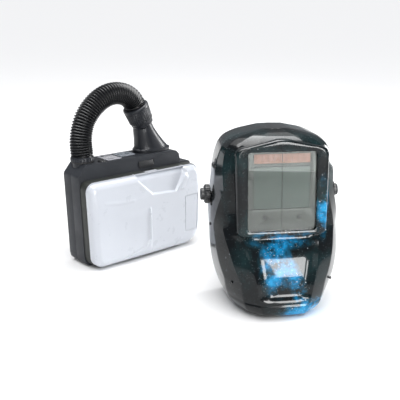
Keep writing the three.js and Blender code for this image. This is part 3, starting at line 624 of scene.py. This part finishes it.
# ---------- camera, floor and lights ----------
def make_camera():
    data = bpy.data.cameras.new("camera")
    data.lens = CAMERA_LENS
    data.sensor_width = 36
    data.dof.use_dof = False
    camera = add_object("camera", data)
    camera.location = BLOWER @ (Vector(CAMERA_PLACE) * MM)
    camera.rotation_euler = (math.radians(90 - CAMERA_DOWN), 0, math.radians(-CAMERA_YAW))
    bpy.context.scene.camera = camera
    bpy.context.scene.view_settings.view_transform = "Standard"


def make_floor():
    material, _, shader, _ = start_material("floor")
    put(shader, Base_Color=(0.93, 0.93, 0.93, 1), Roughness=0.9, Specular_IOR_Level=0.1)
    mesh = bpy.data.meshes.new("floor")
    reach = 90
    mesh.from_pydata([(-reach, -reach, 0), (reach, -reach, 0), (reach, reach, 0),
                      (-reach, reach, 0)], [], [(0, 1, 2, 3)])
    mesh.materials.append(material)
    floor = add_object("floor", mesh)


def add_light(name, place, target, size, power):
    data = bpy.data.lights.new(name, "AREA")
    data.shape = "RECTANGLE"
    data.size, data.size_y = size
    data.energy = power
    light = add_object(name, data)
    light.location = place
    light.rotation_euler = (Vector(target) - Vector(place)).to_track_quat("-Z", "Y").to_euler()
    return light


def add_sky_light(angle, strength, lean):
    """A wide, even light from above that reaches the whole floor."""
    data = bpy.data.lights.new("sky", "SUN")
    data.angle = math.radians(angle)
    data.energy = strength
    light = add_object("sky", data)
    light.rotation_euler = [math.radians(value) for value in lean]
    light.visible_glossy = False


def make_lights():
    middle = (0, 0, 0.15)
    add_sky_light(70, 2.4, (18, -10, 0))
    add_light("overhead", (0.2, 0.5, 2.2), middle, (2.6, 2.0), 24)
    add_light("key", (-2.1, -0.9, 1.6), middle, (1.0, 1.0), 3)
    add_light("right_strip", (2.0, -0.42, 0.45), (0, 0.1, 0.1), (0.3, 0.8), 36)
    fill = add_light("cover_fill", (-0.17, -1.1, 0.4), (-0.08, 0.14, 0.08), (0.5, 0.5), 2.2)
    fill.visible_glossy = False
    # a ceiling light and two tall windows that only show as reflections
    aim = (0, -0.3, 0.1)
    for name, place, target, size, power in (
            ("brim_glow", (0.0, 0.3, 2.2), middle, (2.2, 1.6), 95),
            ("window_left", (-1.25, -2.2, 0.8), aim, (0.26, 1.2), 22),
            ("window_right", (-0.55, -2.3, 0.8), aim, (0.55, 1.2), 44)):
        light = add_light(name, place, target, size, power)
        light.visible_diffuse = False
        light.visible_transmission = False
    world = bpy.data.worlds.new("studio")
    world.use_nodes = True
    background = world.node_tree.nodes["Background"]
    put(background, Color=(0.93, 0.95, 1.0, 1), Strength=0.30)
    bpy.context.scene.world = world


make_camera()
make_floor()
make_lights()


# ---------- breathing hose, its cuff and connector ----------
HOSE_RIBS = 50
STEPS_PER_RIB = 8
HOSE_SIDES = 56
ROOT_RADIUS = 18.8
CREST_RADIUS = 21.6
END_RADIUS = 19.6  # the ribs shrink where the hose enters its fittings


def hose_rings():
    """The hose's skin, its centreline and its length in metres."""
    steps = HOSE_RIBS * STEPS_PER_RIB
    centres, length = catmull([(x, PORT_Y, z) for x, z in HOSE_ROUTE], steps + 1)
    rings = []
    for i, centre in enumerate(centres):
        ahead = centres[min(i + 1, steps)] - centres[max(i - 1, 0)]
        ahead.normalize()
        across = Vector((0, 1, 0))
        outward = ahead.cross(across).normalized()
        swell = 0.5 + 0.5 * math.cos(2 * math.pi * i / STEPS_PER_RIB)
        run = i / steps * length
        free = smoothstep(4, 12, run) * smoothstep(length - 17, length - 24, run)
        crest = END_RADIUS + (CREST_RADIUS - END_RADIUS) * free
        radius = ROOT_RADIUS + (crest - ROOT_RADIUS) * swell ** 0.8
        ring = []
        for side in range(HOSE_SIDES):
            angle = 2 * math.pi * side / HOSE_SIDES
            spoke = across * math.cos(angle) + outward * math.sin(angle)
            ring.append(BLOWER @ ((centre + spoke * radius) * MM) / MM)
        rings.append(ring)
    path = [BLOWER @ (centre * MM) for centre in centres]
    return rings, path, length * MM


def cuff_place():
    spin = turn_to((CUFF_TOP - CUFF_BOTTOM).normalized()).to_matrix().to_4x4()
    return BLOWER @ Matrix.Translation(CUFF_BOTTOM * MM) @ spin


def make_cuff():
    length = (CUFF_TOP - CUFF_BOTTOM).length
    profile = [
        (17.9, 0), (20.6, 0), (21.6, 0.8), (22.0, 3.4), (22.4, 4.2), (21.8, 5.0), (22.0, 6.0),
        (23.2, 9.5), (23.3, 10), (24.7, length - 8), (24.8, length - 7.4), (25.9, length - 6.6),
        (26.3, length - 4.2), (25.6, length - 1.0), (24.2, length), (20.6, length),
        (20.4, length - 2), (20.4, 16), (17.9, 14), (17.9, 0.4),
    ]
    rings = turned(profile, 144, ribs=36, rib_depth=0.9, rib_span=(9.9, length - 7.9))
    return ring_piece("cuff_finish", rings, cuff_black, "swivel_cuff", cuff_place(), closed=True,
                      replaces=["swivel_cuff"], slot="trim_black", sharp=40)


NOZZLE_SIDES = 96
NOZZLE_POWER = 2 / 2.25
# the connector at each height: (middle x, z, half width, half depth)
NOZZLE_LEVELS = [
    (57, 202.2, 41.5, 26.5), (57, 206.4, 41.6, 26.6), (57, 207.2, 41.0, 26.0),
    (56.4, 208.4, 38.2, 25.4), (54.8, 213, 35.0, 24.6), (51.5, 220, 31.6, 23.6),
    (48.0, 228, 28.2, 22.6), (44.4, 236, 25.4, 21.6), (41.6, 243, 23.2, 20.6),
    (39.2, 250, 20.6, 19.2),
]


def nozzle_rings(shrink):
    """The connector's skin, moved inward by shrink; its last three rings enter the cuff."""
    up = (CUFF_TOP - CUFF_BOTTOM).normalized()
    spin = turn_to(up)
    turns = [2 * math.pi * i / NOZZLE_SIDES for i in range(NOZZLE_SIDES)]
    rings = [[Vector((x + (half_width - shrink) * bent(math.cos(turn), NOZZLE_POWER),
                      PORT_Y + (half_depth - shrink) * bent(math.sin(turn), NOZZLE_POWER), z))
              for turn in turns] for x, z, half_width, half_depth in NOZZLE_LEVELS]
    radius = 17.5 - shrink
    rings += [[CUFF_BOTTOM + up * reach
               + spin @ Vector((radius * math.cos(turn), radius * math.sin(turn), 0))
               for turn in turns] for reach in (-1.5, 0.8, 12)]
    return rings


def make_nozzle():
    outer = nozzle_rings(0)
    inner = nozzle_rings(2.2)
    return ring_piece("connector_finish", outer + inner[::-1], cuff_black, "blower", BLOWER,
                      closed=True, replaces=["helmet_connector"], slot="trim_black", sharp=28)


def make_hose():
    rings, path, length = hose_rings()
    cuff = make_cuff()
    nozzle = make_nozzle()
    hose = ring_piece("breathing_hose", rings, hose_black, "blower", replaces=["hose_tube"],
                      slot="hose_black", sharp=50)
    dress("connector_seal", rubber)


make_hose()


# ---------- blower ----------
HALF_WIDTH = 134.5
HALF_WIDTH_BASE = 129.5
COVER_TOP = 172
COVER_BOTTOM = 5.6
COVER_BACK = -76.3
COVER_FRONT = -99.0
COVER_POINTS = 440  # round each of the cover's rings
COVER_STEPS = 66  # rings between its edge and its middle
LABEL_TOP = 202.3
PORT_RING_BASE = 203.6


def distance_to(points, line, closed=False):
    """Distance from each (x, z) point to a polyline."""
    line = np.array(line, float)
    ends = np.roll(line, -1, axis=0) if closed else line[1:]
    starts = line if closed else line[:-1]
    best = np.full(len(points), 1e9)
    for start, end in zip(starts, ends):
        edge = end - start
        share = np.clip(((points - start) @ edge) / max(float(edge @ edge), 1e-12), 0, 1)
        gap = points - (start + share[:, None] * edge)
        best = np.minimum(best, np.hypot(gap[:, 0], gap[:, 1]))
    return best


def inside(points, polygon):
    """Signed distance to a polygon: positive inside."""
    polygon = np.array(polygon, float)
    odd = np.zeros(len(points), bool)
    for (x1, z1), (x2, z2) in zip(polygon, np.roll(polygon, -1, axis=0)):
        spans = (z1 > points[:, 1]) != (z2 > points[:, 1])
        with np.errstate(divide="ignore", invalid="ignore"):
            meet = (x2 - x1) * (points[:, 1] - z1) / (z2 - z1) + x1
        odd ^= spans & (points[:, 0] < meet)
    gap = distance_to(points, polygon, closed=True)
    return np.where(odd, gap, -gap)


def cover_outline():
    return rounded_outline([
        (-HALF_WIDTH_BASE + 1, COVER_BOTTOM, 20), (HALF_WIDTH_BASE - 1, COVER_BOTTOM, 34),
        (HALF_WIDTH - 1, COVER_TOP, 18), (-HALF_WIDTH + 1, COVER_TOP, 18)], 12)


V_RECESS = [(-26, 190), (-23, 161), (7, 131), (66, 127), (94, 160), (97, 190)]
RIB_LINE = [(-2, 104), (-2, 40), (-16, 28), (-66, 14)]
SIDE_PANEL = [(88, 36), (119, 36), (121, 112), (88, 112)]
FACET = [(72, 128), (92, 168), (100, 150), (84, 128)]


def cover_height(points, edge):
    """How far the cover's face stands out of its back plane at each (x, z)."""
    x, z = points[:, 0], points[:, 1]
    rounding = 13 + 14 * smoothstep(20, 110, x) * smoothstep(60, 10, z) + 5 * smoothstep(30, 8, z)
    near = np.clip(edge / rounding, 0, 1)
    depth = COVER_BACK - COVER_FRONT
    height = depth - (depth - 8) * (1 - np.sqrt(np.maximum(1 - (1 - near) ** 2, 0)))
    # the face leans back above its crease and swells a little at the left
    height -= 0.13 * np.maximum(z - 128, 0) * smoothstep(120, 136, z)
    height -= 2.2 * smoothstep(-90, 134, x)
    inner = inside(points, V_RECESS)
    lean = np.clip((z - 122) / 50, 0, 1)
    height -= smoothstep(-0.8, 2.0, inner) * (4.2 + 6.0 * lean)
    height += 3.0 * smoothstep(0, 3.5, inside(points, FACET))
    rib = distance_to(points, RIB_LINE)
    height += 2.6 * (1 - smoothstep(0.5, 2.6, rib))
    left = smoothstep(2, -2, x) * smoothstep(-90, -10, x) * smoothstep(110, 92, z)
    height += 1.6 * left * smoothstep(14, 22, z)
    panel = inside(points, SIDE_PANEL)
    height -= 0.9 * smoothstep(-0.6, 1.2, panel)
    height -= 1.5 * (1 - smoothstep(0.3, 1.3, np.abs(panel)))
    crease = distance_to(points, [(-104, 133), (-70, 128), (-40, 127)])
    height += 0.7 * (1 - smoothstep(0, 5, crease))
    return height


def make_white_cover():
    """The cover's skin: rings from its edge to a short line in its middle."""
    outline = np.array([tuple(point) for point in cover_outline()])
    closed = np.vstack([outline, outline[:1]])
    run = np.cumsum(np.r_[0, np.hypot(*np.diff(closed, axis=0).T)])
    wanted = np.linspace(0, run[-1], COVER_POINTS, endpoint=False)
    edge = np.stack([np.interp(wanted, run, closed[:, k]) for k in range(2)], axis=1)
    core = np.stack([np.clip(edge[:, 0], -62, 62), np.full(COVER_POINTS, 88.0)], axis=1)
    inward = core - edge
    reach = np.hypot(*inward.T)[:, None]
    rings = [np.c_[edge[:, 0], np.full(COVER_POINTS, COVER_BACK - depth), edge[:, 1]]
             for depth in (0.0, 3.0, 6.0)]

    def add_ring(flat, from_edge):
        rings.append(np.c_[flat[:, 0], COVER_BACK - cover_height(flat, from_edge), flat[:, 1]])

    offsets = [0.3, 0.9, 1.8, 2.8, 4.0]
    for offset in offsets:
        add_ring(edge + inward / reach * offset, np.full(COVER_POINTS, offset))
    start = edge + inward / reach * offsets[-1]
    for step in range(COVER_STEPS):
        flat = start + (core - start) * ((step + 1) / COVER_STEPS)
        add_ring(flat, np.maximum(inside(flat, outline), 0))
    faces = grid_faces(len(rings), COVER_POINTS, wrap_columns=True)
    piece = add_piece("white_cover", np.vstack(rings).tolist(), faces, cover_white, "filter_cover",
                      BLOWER, sharp=70, replaces=["cover_shell"], slot="cover_white")
    close_middle(piece, len(rings))


def close_middle(piece, rings):
    """Welds the innermost ring into the face and gives the shell its wall."""
    with editing(piece.data) as work:
        work.verts.ensure_lookup_table()
        last = work.verts[(rings - 1) * COVER_POINTS:rings * COVER_POINTS]
        bmesh.ops.remove_doubles(work, verts=last, dist=0.0006)
        border = [edge for edge in work.edges if edge.is_boundary
                  and all(vert.co.y < (COVER_BACK - 3) * MM for vert in edge.verts)]
        if border:
            bmesh.ops.holes_fill(work, edges=border, sides=0)
        face_forward(work)
    add_wall(piece, 2.4)
    finish_mesh(piece.data, cover_white, 60)


def make_blower():
    refine("rear_housing", charcoal, 2.0, 3)
    refine("front_housing", charcoal, 6.0, 4)
    refine("cover_frame", frame_charcoal, 1.2, 3)
    make_white_cover()
    for node, material, bevel in (
            ("belt_bracket", trim_black, 0.8), ("fan_volute", trim_black, 0.5),
            ("latch_button", trim_black, 0.7), ("power_button", trim_black, 0.4),
            ("flow_down_button", key_grey, 0.4), ("flow_up_button", key_grey, 0.4),
            ("display_panel", panel_grey, 0.25), ("control_pad", pad_grey, 0.3)):
        refine(node, material, bevel)
    for node, material in (
            ("battery_pack", charcoal), ("battery_release", key_grey),
            ("hinge_pin_left", steel), ("hinge_pin_right", steel), ("fan_motor", steel),
            ("impeller", trim_black), ("control_board", board), ("port_spigot", cuff_black),
            ("port_seal", rubber), ("filter_seal", rubber), ("particle_filter", media),
            ("prefilter", media), ("spark_arrestor", steel)):
        dress(node, material)


def make_label():
    """The label's lighter band and a few plain marks, printed on its panel."""
    marks = [(-63.5, -33.5, -34, -24, 1.0), (-60, -50, -46, -44.8, 0.4),
             (-60, -44, -42, -40.8, 0.4), (-60, -52, -18, -12, 1.0), (-48, -37, -16, -14.8, 0.4)]
    for number, (left, right, low, high, radius) in enumerate(marks):
        outline = box_outline(left, low, right, high, radius, 3)
        rings = [[(point.x, point.y, z) for point in outline]
                 for z in (LABEL_TOP - 0.3, LABEL_TOP + 0.12)]
        ring_piece(f"label_mark_{number + 1}", rings, band_grey if number == 0 else trim_black,
                   "blower", BLOWER, slot="panel_grey" if number == 0 else "trim_black")


def make_port_ring():
    base = PORT_RING_BASE
    profile = [
        (20.2, base), (21.8, base), (22.6, base + 0.8), (22.6, base + 6.0), (22.0, base + 7.0),
        (21.4, base + 8.6), (20.4, base + 9), (20.2, base + 5),
    ]
    place = BLOWER @ Matrix.Translation((PORT_X * MM, PORT_Y * MM, 0))
    rings = turned(profile, 120, ribs=30, rib_depth=0.4, rib_span=(base + 0.7, base + 6.1))
    ring_piece("port_ring_finish", rings, cuff_black, "port_lock_ring", place, closed=True,
               replaces=["port_lock_ring"], slot="trim_black")


make_blower()
make_label()
make_port_ring()


# ---------- helmet shell ----------
# the shell at each height: (z, half width, front y, squareness)
SHELL_LEVELS = [
    (0, 66, -8, 2.4), (7, 76, -20, 2.4), (20, 86, -28, 2.4), (50, 98, -30, 2.4),
    (80, 105, -25, 2.5), (110, 107, -10, 2.7), (132, 107, 11, 3.0), (165, 106, 24, 3.3),
    (200, 102, 27, 3.3), (230, 99, 29, 3.3), (254, 94, 31, 3.2), (270, 88, 34, 3.0),
    (282, 76, 41, 2.8), (290, 56, 54, 2.6), (297, 22, 80, 2.4),
]
WIDEST_Y = 86
REAR_DEPTH = 120
FACET_STEPS = 14  # points along each facet of a ring
ARC_SHARE, CHORD_SHARE = 0.18, 0.82  # how round and how flat a facet is
HEAD_EDGE = [(0, 123), (60, 134), (120, 147), (180, 153), (230, 150), (285, 136), (297, 134)]


def smooth_level(z, levels):
    """The other columns of levels at height z, on smooth curves that don't overshoot."""
    table = np.array(levels, float)
    steps = np.diff(table[:, 0])
    slopes = np.diff(table[:, 1:], axis=0) / steps[:, None]
    tangents = np.vstack([slopes[:1], (slopes[:-1] + slopes[1:]) / 2, slopes[-1:]])
    tangents[1:-1][slopes[:-1] * slopes[1:] <= 0] = 0
    i = int(np.clip(np.searchsorted(table[:, 0], z) - 1, 0, len(steps) - 1))
    t = (z - table[i, 0]) / steps[i]
    start, end = table[i, 1:], table[i + 1, 1:]
    return (start * (2 * t ** 3 - 3 * t ** 2 + 1) + end * (3 * t ** 2 - 2 * t ** 3)
            + steps[i] * (tangents[i] * (t ** 3 - 2 * t ** 2 + t)
                          + tangents[i + 1] * (t ** 3 - t ** 2)))


def shell_ring(z, creases):
    """The shell's line round the front at height z, from its left rear edge to its right."""
    half, front, squareness = smooth_level(z, SHELL_LEVELS)
    rear = np.interp(z, *np.array(HEAD_EDGE, float).T)
    power = 2 / squareness
    share = min((rear - WIDEST_Y) / REAR_DEPTH, 0.99)
    tail = math.asin(share ** (1 / power))

    def at(angle):
        c, s = math.cos(angle), math.sin(angle)
        depth = (WIDEST_Y - front) if s > 0 else REAR_DEPTH
        return np.array([-half * bent(c, power), WIDEST_Y - depth * bent(s, power)])

    stops = [-tail, 0.0] + creases + [math.pi - angle for angle in reversed(creases)]
    stops += [math.pi, math.pi + tail]
    columns = []
    for low, high in zip(stops, stops[1:]):
        for step in range(FACET_STEPS):
            share = step / FACET_STEPS
            arc = at(low + (high - low) * share)
            chord = at(low) * (1 - share) + at(high) * share
            columns.append(arc * ARC_SHARE + chord * CHORD_SHARE)
    columns.append(at(stops[-1]))
    return np.array(columns)


# (z, side crease, cheek crease, chin crease)
CREASES = [(0, 0.30, 0.80, 1.18), (60, 0.46, 0.88, 1.17), (140, 0.20, 0.62, 1.10),
           (205, 0.56, 0.84, 1.20), (258, 0.34, 0.70, 1.22), (297, 0.36, 0.80, 1.20)]


def crease_angles(z):
    """Where the side facets meet, as angles round the front; they shift with height."""
    table = np.array(CREASES, float)
    return [float(np.interp(z, table[:, 0], table[:, k])) for k in (1, 2, 3)]


CHIN_TOP = 132
CHIN_LOW = 34
# half width and half height of the opening in the skin, the window and the frame's throat
OPENING_HALF, WINDOW_HALF, THROAT_HALF = (67.5, 71.5), (56.5, 64.5), (65.3, 70.3)


def chin_scoop(x, z):
    """How far the chin panel is set back at (x, z)."""
    half = np.interp(z, [CHIN_LOW, 70, CHIN_TOP], [36, 46, 60])
    across = smoothstep(half + 4, half - 3, abs(x))
    second = smoothstep(half - 7, half - 11, abs(x))
    height = smoothstep(CHIN_LOW - 5, CHIN_LOW + 10, z) * smoothstep(CHIN_TOP + 6, CHIN_TOP - 8, z)
    return height * (4.6 * across + 3.0 * second)


def make_shell():
    """The faceted, printed shell: its skin, the window's opening and its wall."""
    heights = sorted(set(np.linspace(0, 297, 110).round(2)) | {level[0] for level in SHELL_LEVELS})
    rings = []
    for z in heights:
        ring = shell_ring(z, crease_angles(z))
        front = ring[:, 1] < 40
        scoop = np.array([chin_scoop(x, z) for x in ring[:, 0]]) * front
        lip = 2.6 * smoothstep(27, 23.5, z) * front
        rings.append(np.c_[ring[:, 0], ring[:, 1] + scoop - lip, np.full(len(ring), z)])
    top = rings[-1]
    for share in (0.4, 0.8, 1.0):
        cap = top.copy()
        cap[:, 0] *= 1 - share
        cap[:, 2] += 0.6 * share
        rings.append(cap)
    count = len(top)
    piece = add_piece("shell_skin", np.vstack(rings).tolist(), grid_faces(len(rings), count),
                      shell_print, "helmet", HELMET, sharp=24, replaces=["helmet_shell"],
                      slot="helmet_shell")
    with editing(piece.data) as work:
        bmesh.ops.remove_doubles(work, verts=work.verts, dist=1e-5)
        face_forward(work)
        open_window(work)
    # the inner face is plain black: only the outside is printed
    piece.data.materials.append(trim_black)
    add_wall(piece, 3, inner_slot=1)
    piece.data.shade_smooth()
    piece.data.set_sharp_from_angle(angle=math.radians(24))


def open_window(work):
    """Takes the skin away behind the window frame and straightens the edge that is left."""
    half_width, half_height = OPENING_HALF
    into_lens = LENS.inverted() @ HELMET
    inner = []
    for face in work.faces:
        centre = into_lens @ face.calc_center_median() / MM
        if abs(centre.x) < half_width and abs(centre.z) < half_height and centre.y < 60:
            inner.append(face)
    bmesh.ops.delete(work, geom=inner, context="FACES")
    back = into_lens.inverted()
    for vert in work.verts:
        place = into_lens @ vert.co / MM
        near_side = abs(abs(place.x) - half_width) < 3 and abs(place.z) < half_height + 3
        near_end = abs(abs(place.z) - half_height) < 3 and abs(place.x) < half_width + 3
        if not vert.is_boundary or place.y > 60 or not (near_side or near_end):
            continue
        if near_side:
            place.x = math.copysign(half_width, place.x)
        if near_end:
            place.z = math.copysign(half_height, place.z)
        vert.co = back @ (place * MM)


def bezel_outline(grow=0):
    return rounded_outline([(-72 - grow, -72 - grow, 12), (72 + grow, -72 - grow, 12),
                            (75 + grow, 68 + grow * 0.5, 12), (0, 84 + grow, 60),
                            (-75 - grow, 68 + grow * 0.5, 12)], 10)


def make_bezel():
    """The raised frame round the window, swept between its outer edge and the window."""
    angles = np.linspace(0, 2 * math.pi, 240, endpoint=False)
    outer = radial_ring(bezel_outline(), angles)
    window, throat = (radial_ring(box_outline(-half, -tall, half, tall, 6), angles)
                      for half, tall in (WINDOW_HALF, THROAT_HALF))

    def between(share):
        return outer * (1 - share) + window * share

    wide = radial_ring(bezel_outline(2.2), angles)
    profile = [(outer, 22), (wide, 6), (wide, -2), (outer * 0.35 + wide * 0.65, -5.6),
               (outer, -7.8), (between(0.12), -8.8), (between(0.22), -9.0), (between(0.6), -8.6),
               (between(0.90), -8.3), (between(0.96), -8.0), (between(0.99), -7.2), (window, -6.6),
               (window, -4.4), (throat, -4.4), (throat, 22)]
    rings = [[(x, y, z) for x, z in line] for line, y in profile]
    ring_piece("window_frame", rings, shell_print, "helmet", LENS, closed=True, sharp=30,
               slot="helmet_shell")


make_shell()
make_bezel()


# ---------- lens unit ----------
def plate_piece(name, outline, front, back, material, body, place, **rest):
    """A flat piece cut to an outline, from front to back along the place's y axis."""
    rings = [[(point.x, y, point.y) for point in outline] for y in (back, front)]
    return ring_piece(name, rings, material, body, place, **rest)


def make_lens_unit():
    for node, material, bevel in (
            ("adf_housing", lens_frame, 0.4), ("lens_retainer", trim_black, 0.5),
            ("shade_knob", key_grey, 0.8), ("sensitivity_knob", key_grey, 0.8),
            ("test_button", key_grey, 0.5)):
        refine(node, material, bevel)
    for node, material in (
            ("adf_lens", filter_glass), ("solar_cell", solar), ("arc_sensor_left", lens_line),
            ("arc_sensor_right", lens_line), ("front_cover_lens", clear),
            ("inner_cover_lens", clear)):
        dress(node, material)
    # contact lines of the liquid crystal panel
    for name, edges in (
            ("panel_line_middle", (-0.5, -64, 0.5, 64)), ("panel_line_upper", (-46, 40.2, 46, 41)),
            ("panel_line_lower", (-56, -28.8, 56, -28.2))):
        plate_piece(name, box_outline(*edges, 0.2, 2), -2.05, -1.85, lens_line, "helmet", LENS,
                    slot="trim_black")


make_lens_unit()


# ---------- knobs on the helmet's sides ----------
def make_tension_knobs():
    profile = [
        (0.1, 84), (4.6, 84), (4.6, 104.4), (14.0, 104.4), (15.2, 105.0), (15.4, 105.8),
        (15.4, 112.6), (15.0, 113.6), (14.2, 114.2), (10.8, 114.2), (10.2, 114.8), (10.2, 119.4),
        (9.6, 120.2), (8.8, 120.6), (0.1, 120.6),
    ]
    rings = turned(profile, 144, ribs=24, rib_depth=1.1, rib_span=(105.2, 113.4))
    for side, sign in (("left", -1), ("right", 1)):
        place = (HELMET @ Matrix.Translation((0, HELMET_MIDDLE * MM, PIVOT_Z * MM))
                 @ Matrix.Rotation(sign * math.pi / 2, 4, "Y"))
        ring_piece(f"tension_knob_{side}_finish", rings, trim_black, f"tension_knob_{side}", place,
                   replaces=[f"tension_knob_{side}"], slot="trim_black")


make_tension_knobs()


# the rivets as (z, angle round the shell)
RIVETS = [(232, 0.0), (170, 0.0), (135, 0.0), (56, 0.62), (56, math.pi - 0.62), (232, math.pi),
          (170, math.pi), (135, math.pi)]


def make_rivets():
    """Domed heads of the rivets that hold the headgear's stops and the cloth."""
    profile = [(0.05, -2.5), (1.6, -2.5), (1.6, 0), (2.9, 0.1), (2.7, 0.9), (1.8, 1.6), (0.05, 1.9)]
    for number, (z, angle) in enumerate(RIVETS):
        half, front, squareness = smooth_level(z, SHELL_LEVELS)
        power = 2 / squareness
        c, s = math.cos(angle), math.sin(angle)
        spot = Vector((-half * bent(c, power),
                       WIDEST_Y - (WIDEST_Y - front) * abs(s) ** power, z))
        outward = Vector((spot.x / half ** 2, (spot.y - WIDEST_Y) / (WIDEST_Y - front) ** 2, 0))
        spin = turn_to(outward.normalized()).to_matrix().to_4x4()
        place = HELMET @ Matrix.Translation(spot * MM) @ spin
        ring_piece(f"shell_rivet_{number + 1}", turned(profile, 20), trim_black, "helmet", place,
                   slot="trim_black", sharp=50)


make_rivets()


# ---------- headgear and face seal ----------
BAND_Y, BAND_Z = 152, PIVOT_Z
BAND_HALF_WIDTH, BAND_HALF_DEPTH = 78, 92
BAND_POWER = 2 / 2.3
PAD_FRAMES = 20  # how long the cloth simulation of a pad runs


def puff(piece, pressure, cap, voxel=5.0):
    """Blows a closed pad up with a short cloth simulation and keeps the result."""
    remesh = piece.modifiers.new("remesh", "REMESH")
    remesh.mode = "VOXEL"
    remesh.voxel_size = voxel * MM
    apply_modifiers(piece)
    start = np.array([tuple(vert.co) for vert in piece.data.vertices])
    cloth_mod = piece.modifiers.new("cloth", "CLOTH")
    cloth_mod.settings.use_pressure = True
    cloth_mod.settings.uniform_pressure_force = pressure
    cloth_mod.settings.effector_weights.gravity = 0
    cloth_mod.settings.tension_stiffness = 12
    scene = bpy.context.scene
    for number in range(1, PAD_FRAMES + 1):
        scene.frame_set(number)
    apply_modifiers(piece)
    moved = np.array([tuple(vert.co) for vert in piece.data.vertices])
    shift = moved - start
    length = np.maximum(np.linalg.norm(shift, axis=1), 1e-9)[:, None]
    shift *= np.minimum(1, cap * MM / length)
    for vert, place in zip(piece.data.vertices, start + shift):
        vert.co = place
    scene.frame_set(1)
    rounder = piece.modifiers.new("rounder", "SUBSURF")
    rounder.levels = rounder.render_levels = 1
    apply_modifiers(piece)


def band_arc(centre, half_span, low, high, thickness, stand_off):
    """A pad that lines the headband over part of its ring; centre and span are angles."""
    columns, rows = 44, 10
    rings = []
    for i in range(columns + 1):
        angle = centre + half_span * (2 * i / columns - 1)
        taper = min(1.0, 4.0 * min(i, columns - i) / columns + 0.35)
        c, s = math.cos(angle), math.sin(angle)
        unit = Vector((bent(c, BAND_POWER), bent(s, BAND_POWER), 0))
        wall = Vector((unit.x * (BAND_HALF_WIDTH - stand_off),
                       unit.y * (BAND_HALF_DEPTH - stand_off), 0))
        inward = -Vector((c, s, 0))
        middle = (low + high) / 2
        half = (high - low) / 2 * (0.7 + 0.3 * taper)
        ring = []
        for j in range(rows * 2):
            turn = 2 * math.pi * j / (rows * 2)
            up = bent(math.sin(turn), 0.6)
            out = bent(math.cos(turn), 0.8)
            place = wall + inward * thickness * taper * (0.5 + 0.5 * out)
            ring.append((place.x, BAND_Y + place.y, middle + half * up))
        rings.append(ring)
    return rings


def make_pads():
    for node, centre, span in (("sweatband", -math.pi / 2, 0.95), ("rear_pad", math.pi / 2, 0.62)):
        rings = band_arc(centre, span, BAND_Z - 12, BAND_Z + 12, 4.4, 1.0)
        piece = ring_piece(node + "_cushion", rings, pad_cloth, "headgear", HELMET, sharp=70,
                           replaces=[node], slot="pad_foam")
        puff(piece, 3, 1.2, 2.6)
        finish_mesh(piece.data, pad_cloth, 75)


def make_headgear():
    for node, bevel in (("headband", 0.6), ("pivot_arm_left", 0.8), ("pivot_arm_right", 0.8),
                        ("crown_strap", 0.5), ("ratchet_housing", 1.2), ("ratchet_knob", 1.0),
                        ("air_duct", 1.4)):
        refine(node, trim_black, bevel)
    make_pads()


def make_face_seal():
    """The gathered cloth between the shell's lower edge and the wearer's neck."""
    columns, rows = 160, 26
    thickness = 1.6

    def place(u, v, inset):
        angle = math.pi * u
        gather = 1.4 * math.sin(46 * math.pi * u) * smoothstep(0.25, 1.0, np.float64(v))
        half = 84 - 28 * v - inset + gather - 5 * v * math.sin(math.pi * v)
        depth = 126 - 60 * v - inset + gather - 6 * v * math.sin(math.pi * v)
        c, s = math.cos(angle), math.sin(angle)
        return (-half * bent(c, 0.8), 112 - depth * abs(s) ** 0.8, 34 + 70 * v)

    points, faces = [], []
    for inset in (0, thickness):
        points += [place(column / columns, row / rows, inset)
                   for row in range(rows + 1) for column in range(columns + 1)]
    wide, total = columns + 1, (columns + 1) * (rows + 1)
    front = grid_faces(rows + 1, wide)
    faces += front
    faces += [tuple(total + index for index in reversed(face)) for face in front]
    border = [*range(wide), *range(2 * wide - 1, total, wide),
              *range(total - 2, total - wide - 1, -1), *range(total - 2 * wide, 0, -wide)]
    for first, second in zip(border, border[1:] + border[:1]):
        faces.append((first, second, total + second, total + first))
    piece = add_piece("face_seal_cloth", points, faces, cloth, "helmet", HELMET, sharp=80,
                      replaces=["face_seal"], slot="soft_black")
    # the cut is a strip that narrows from 0.34 m at its lower edge to 0.24 m at its upper one
    return piece


make_headgear()
make_face_seal()

bake_places()
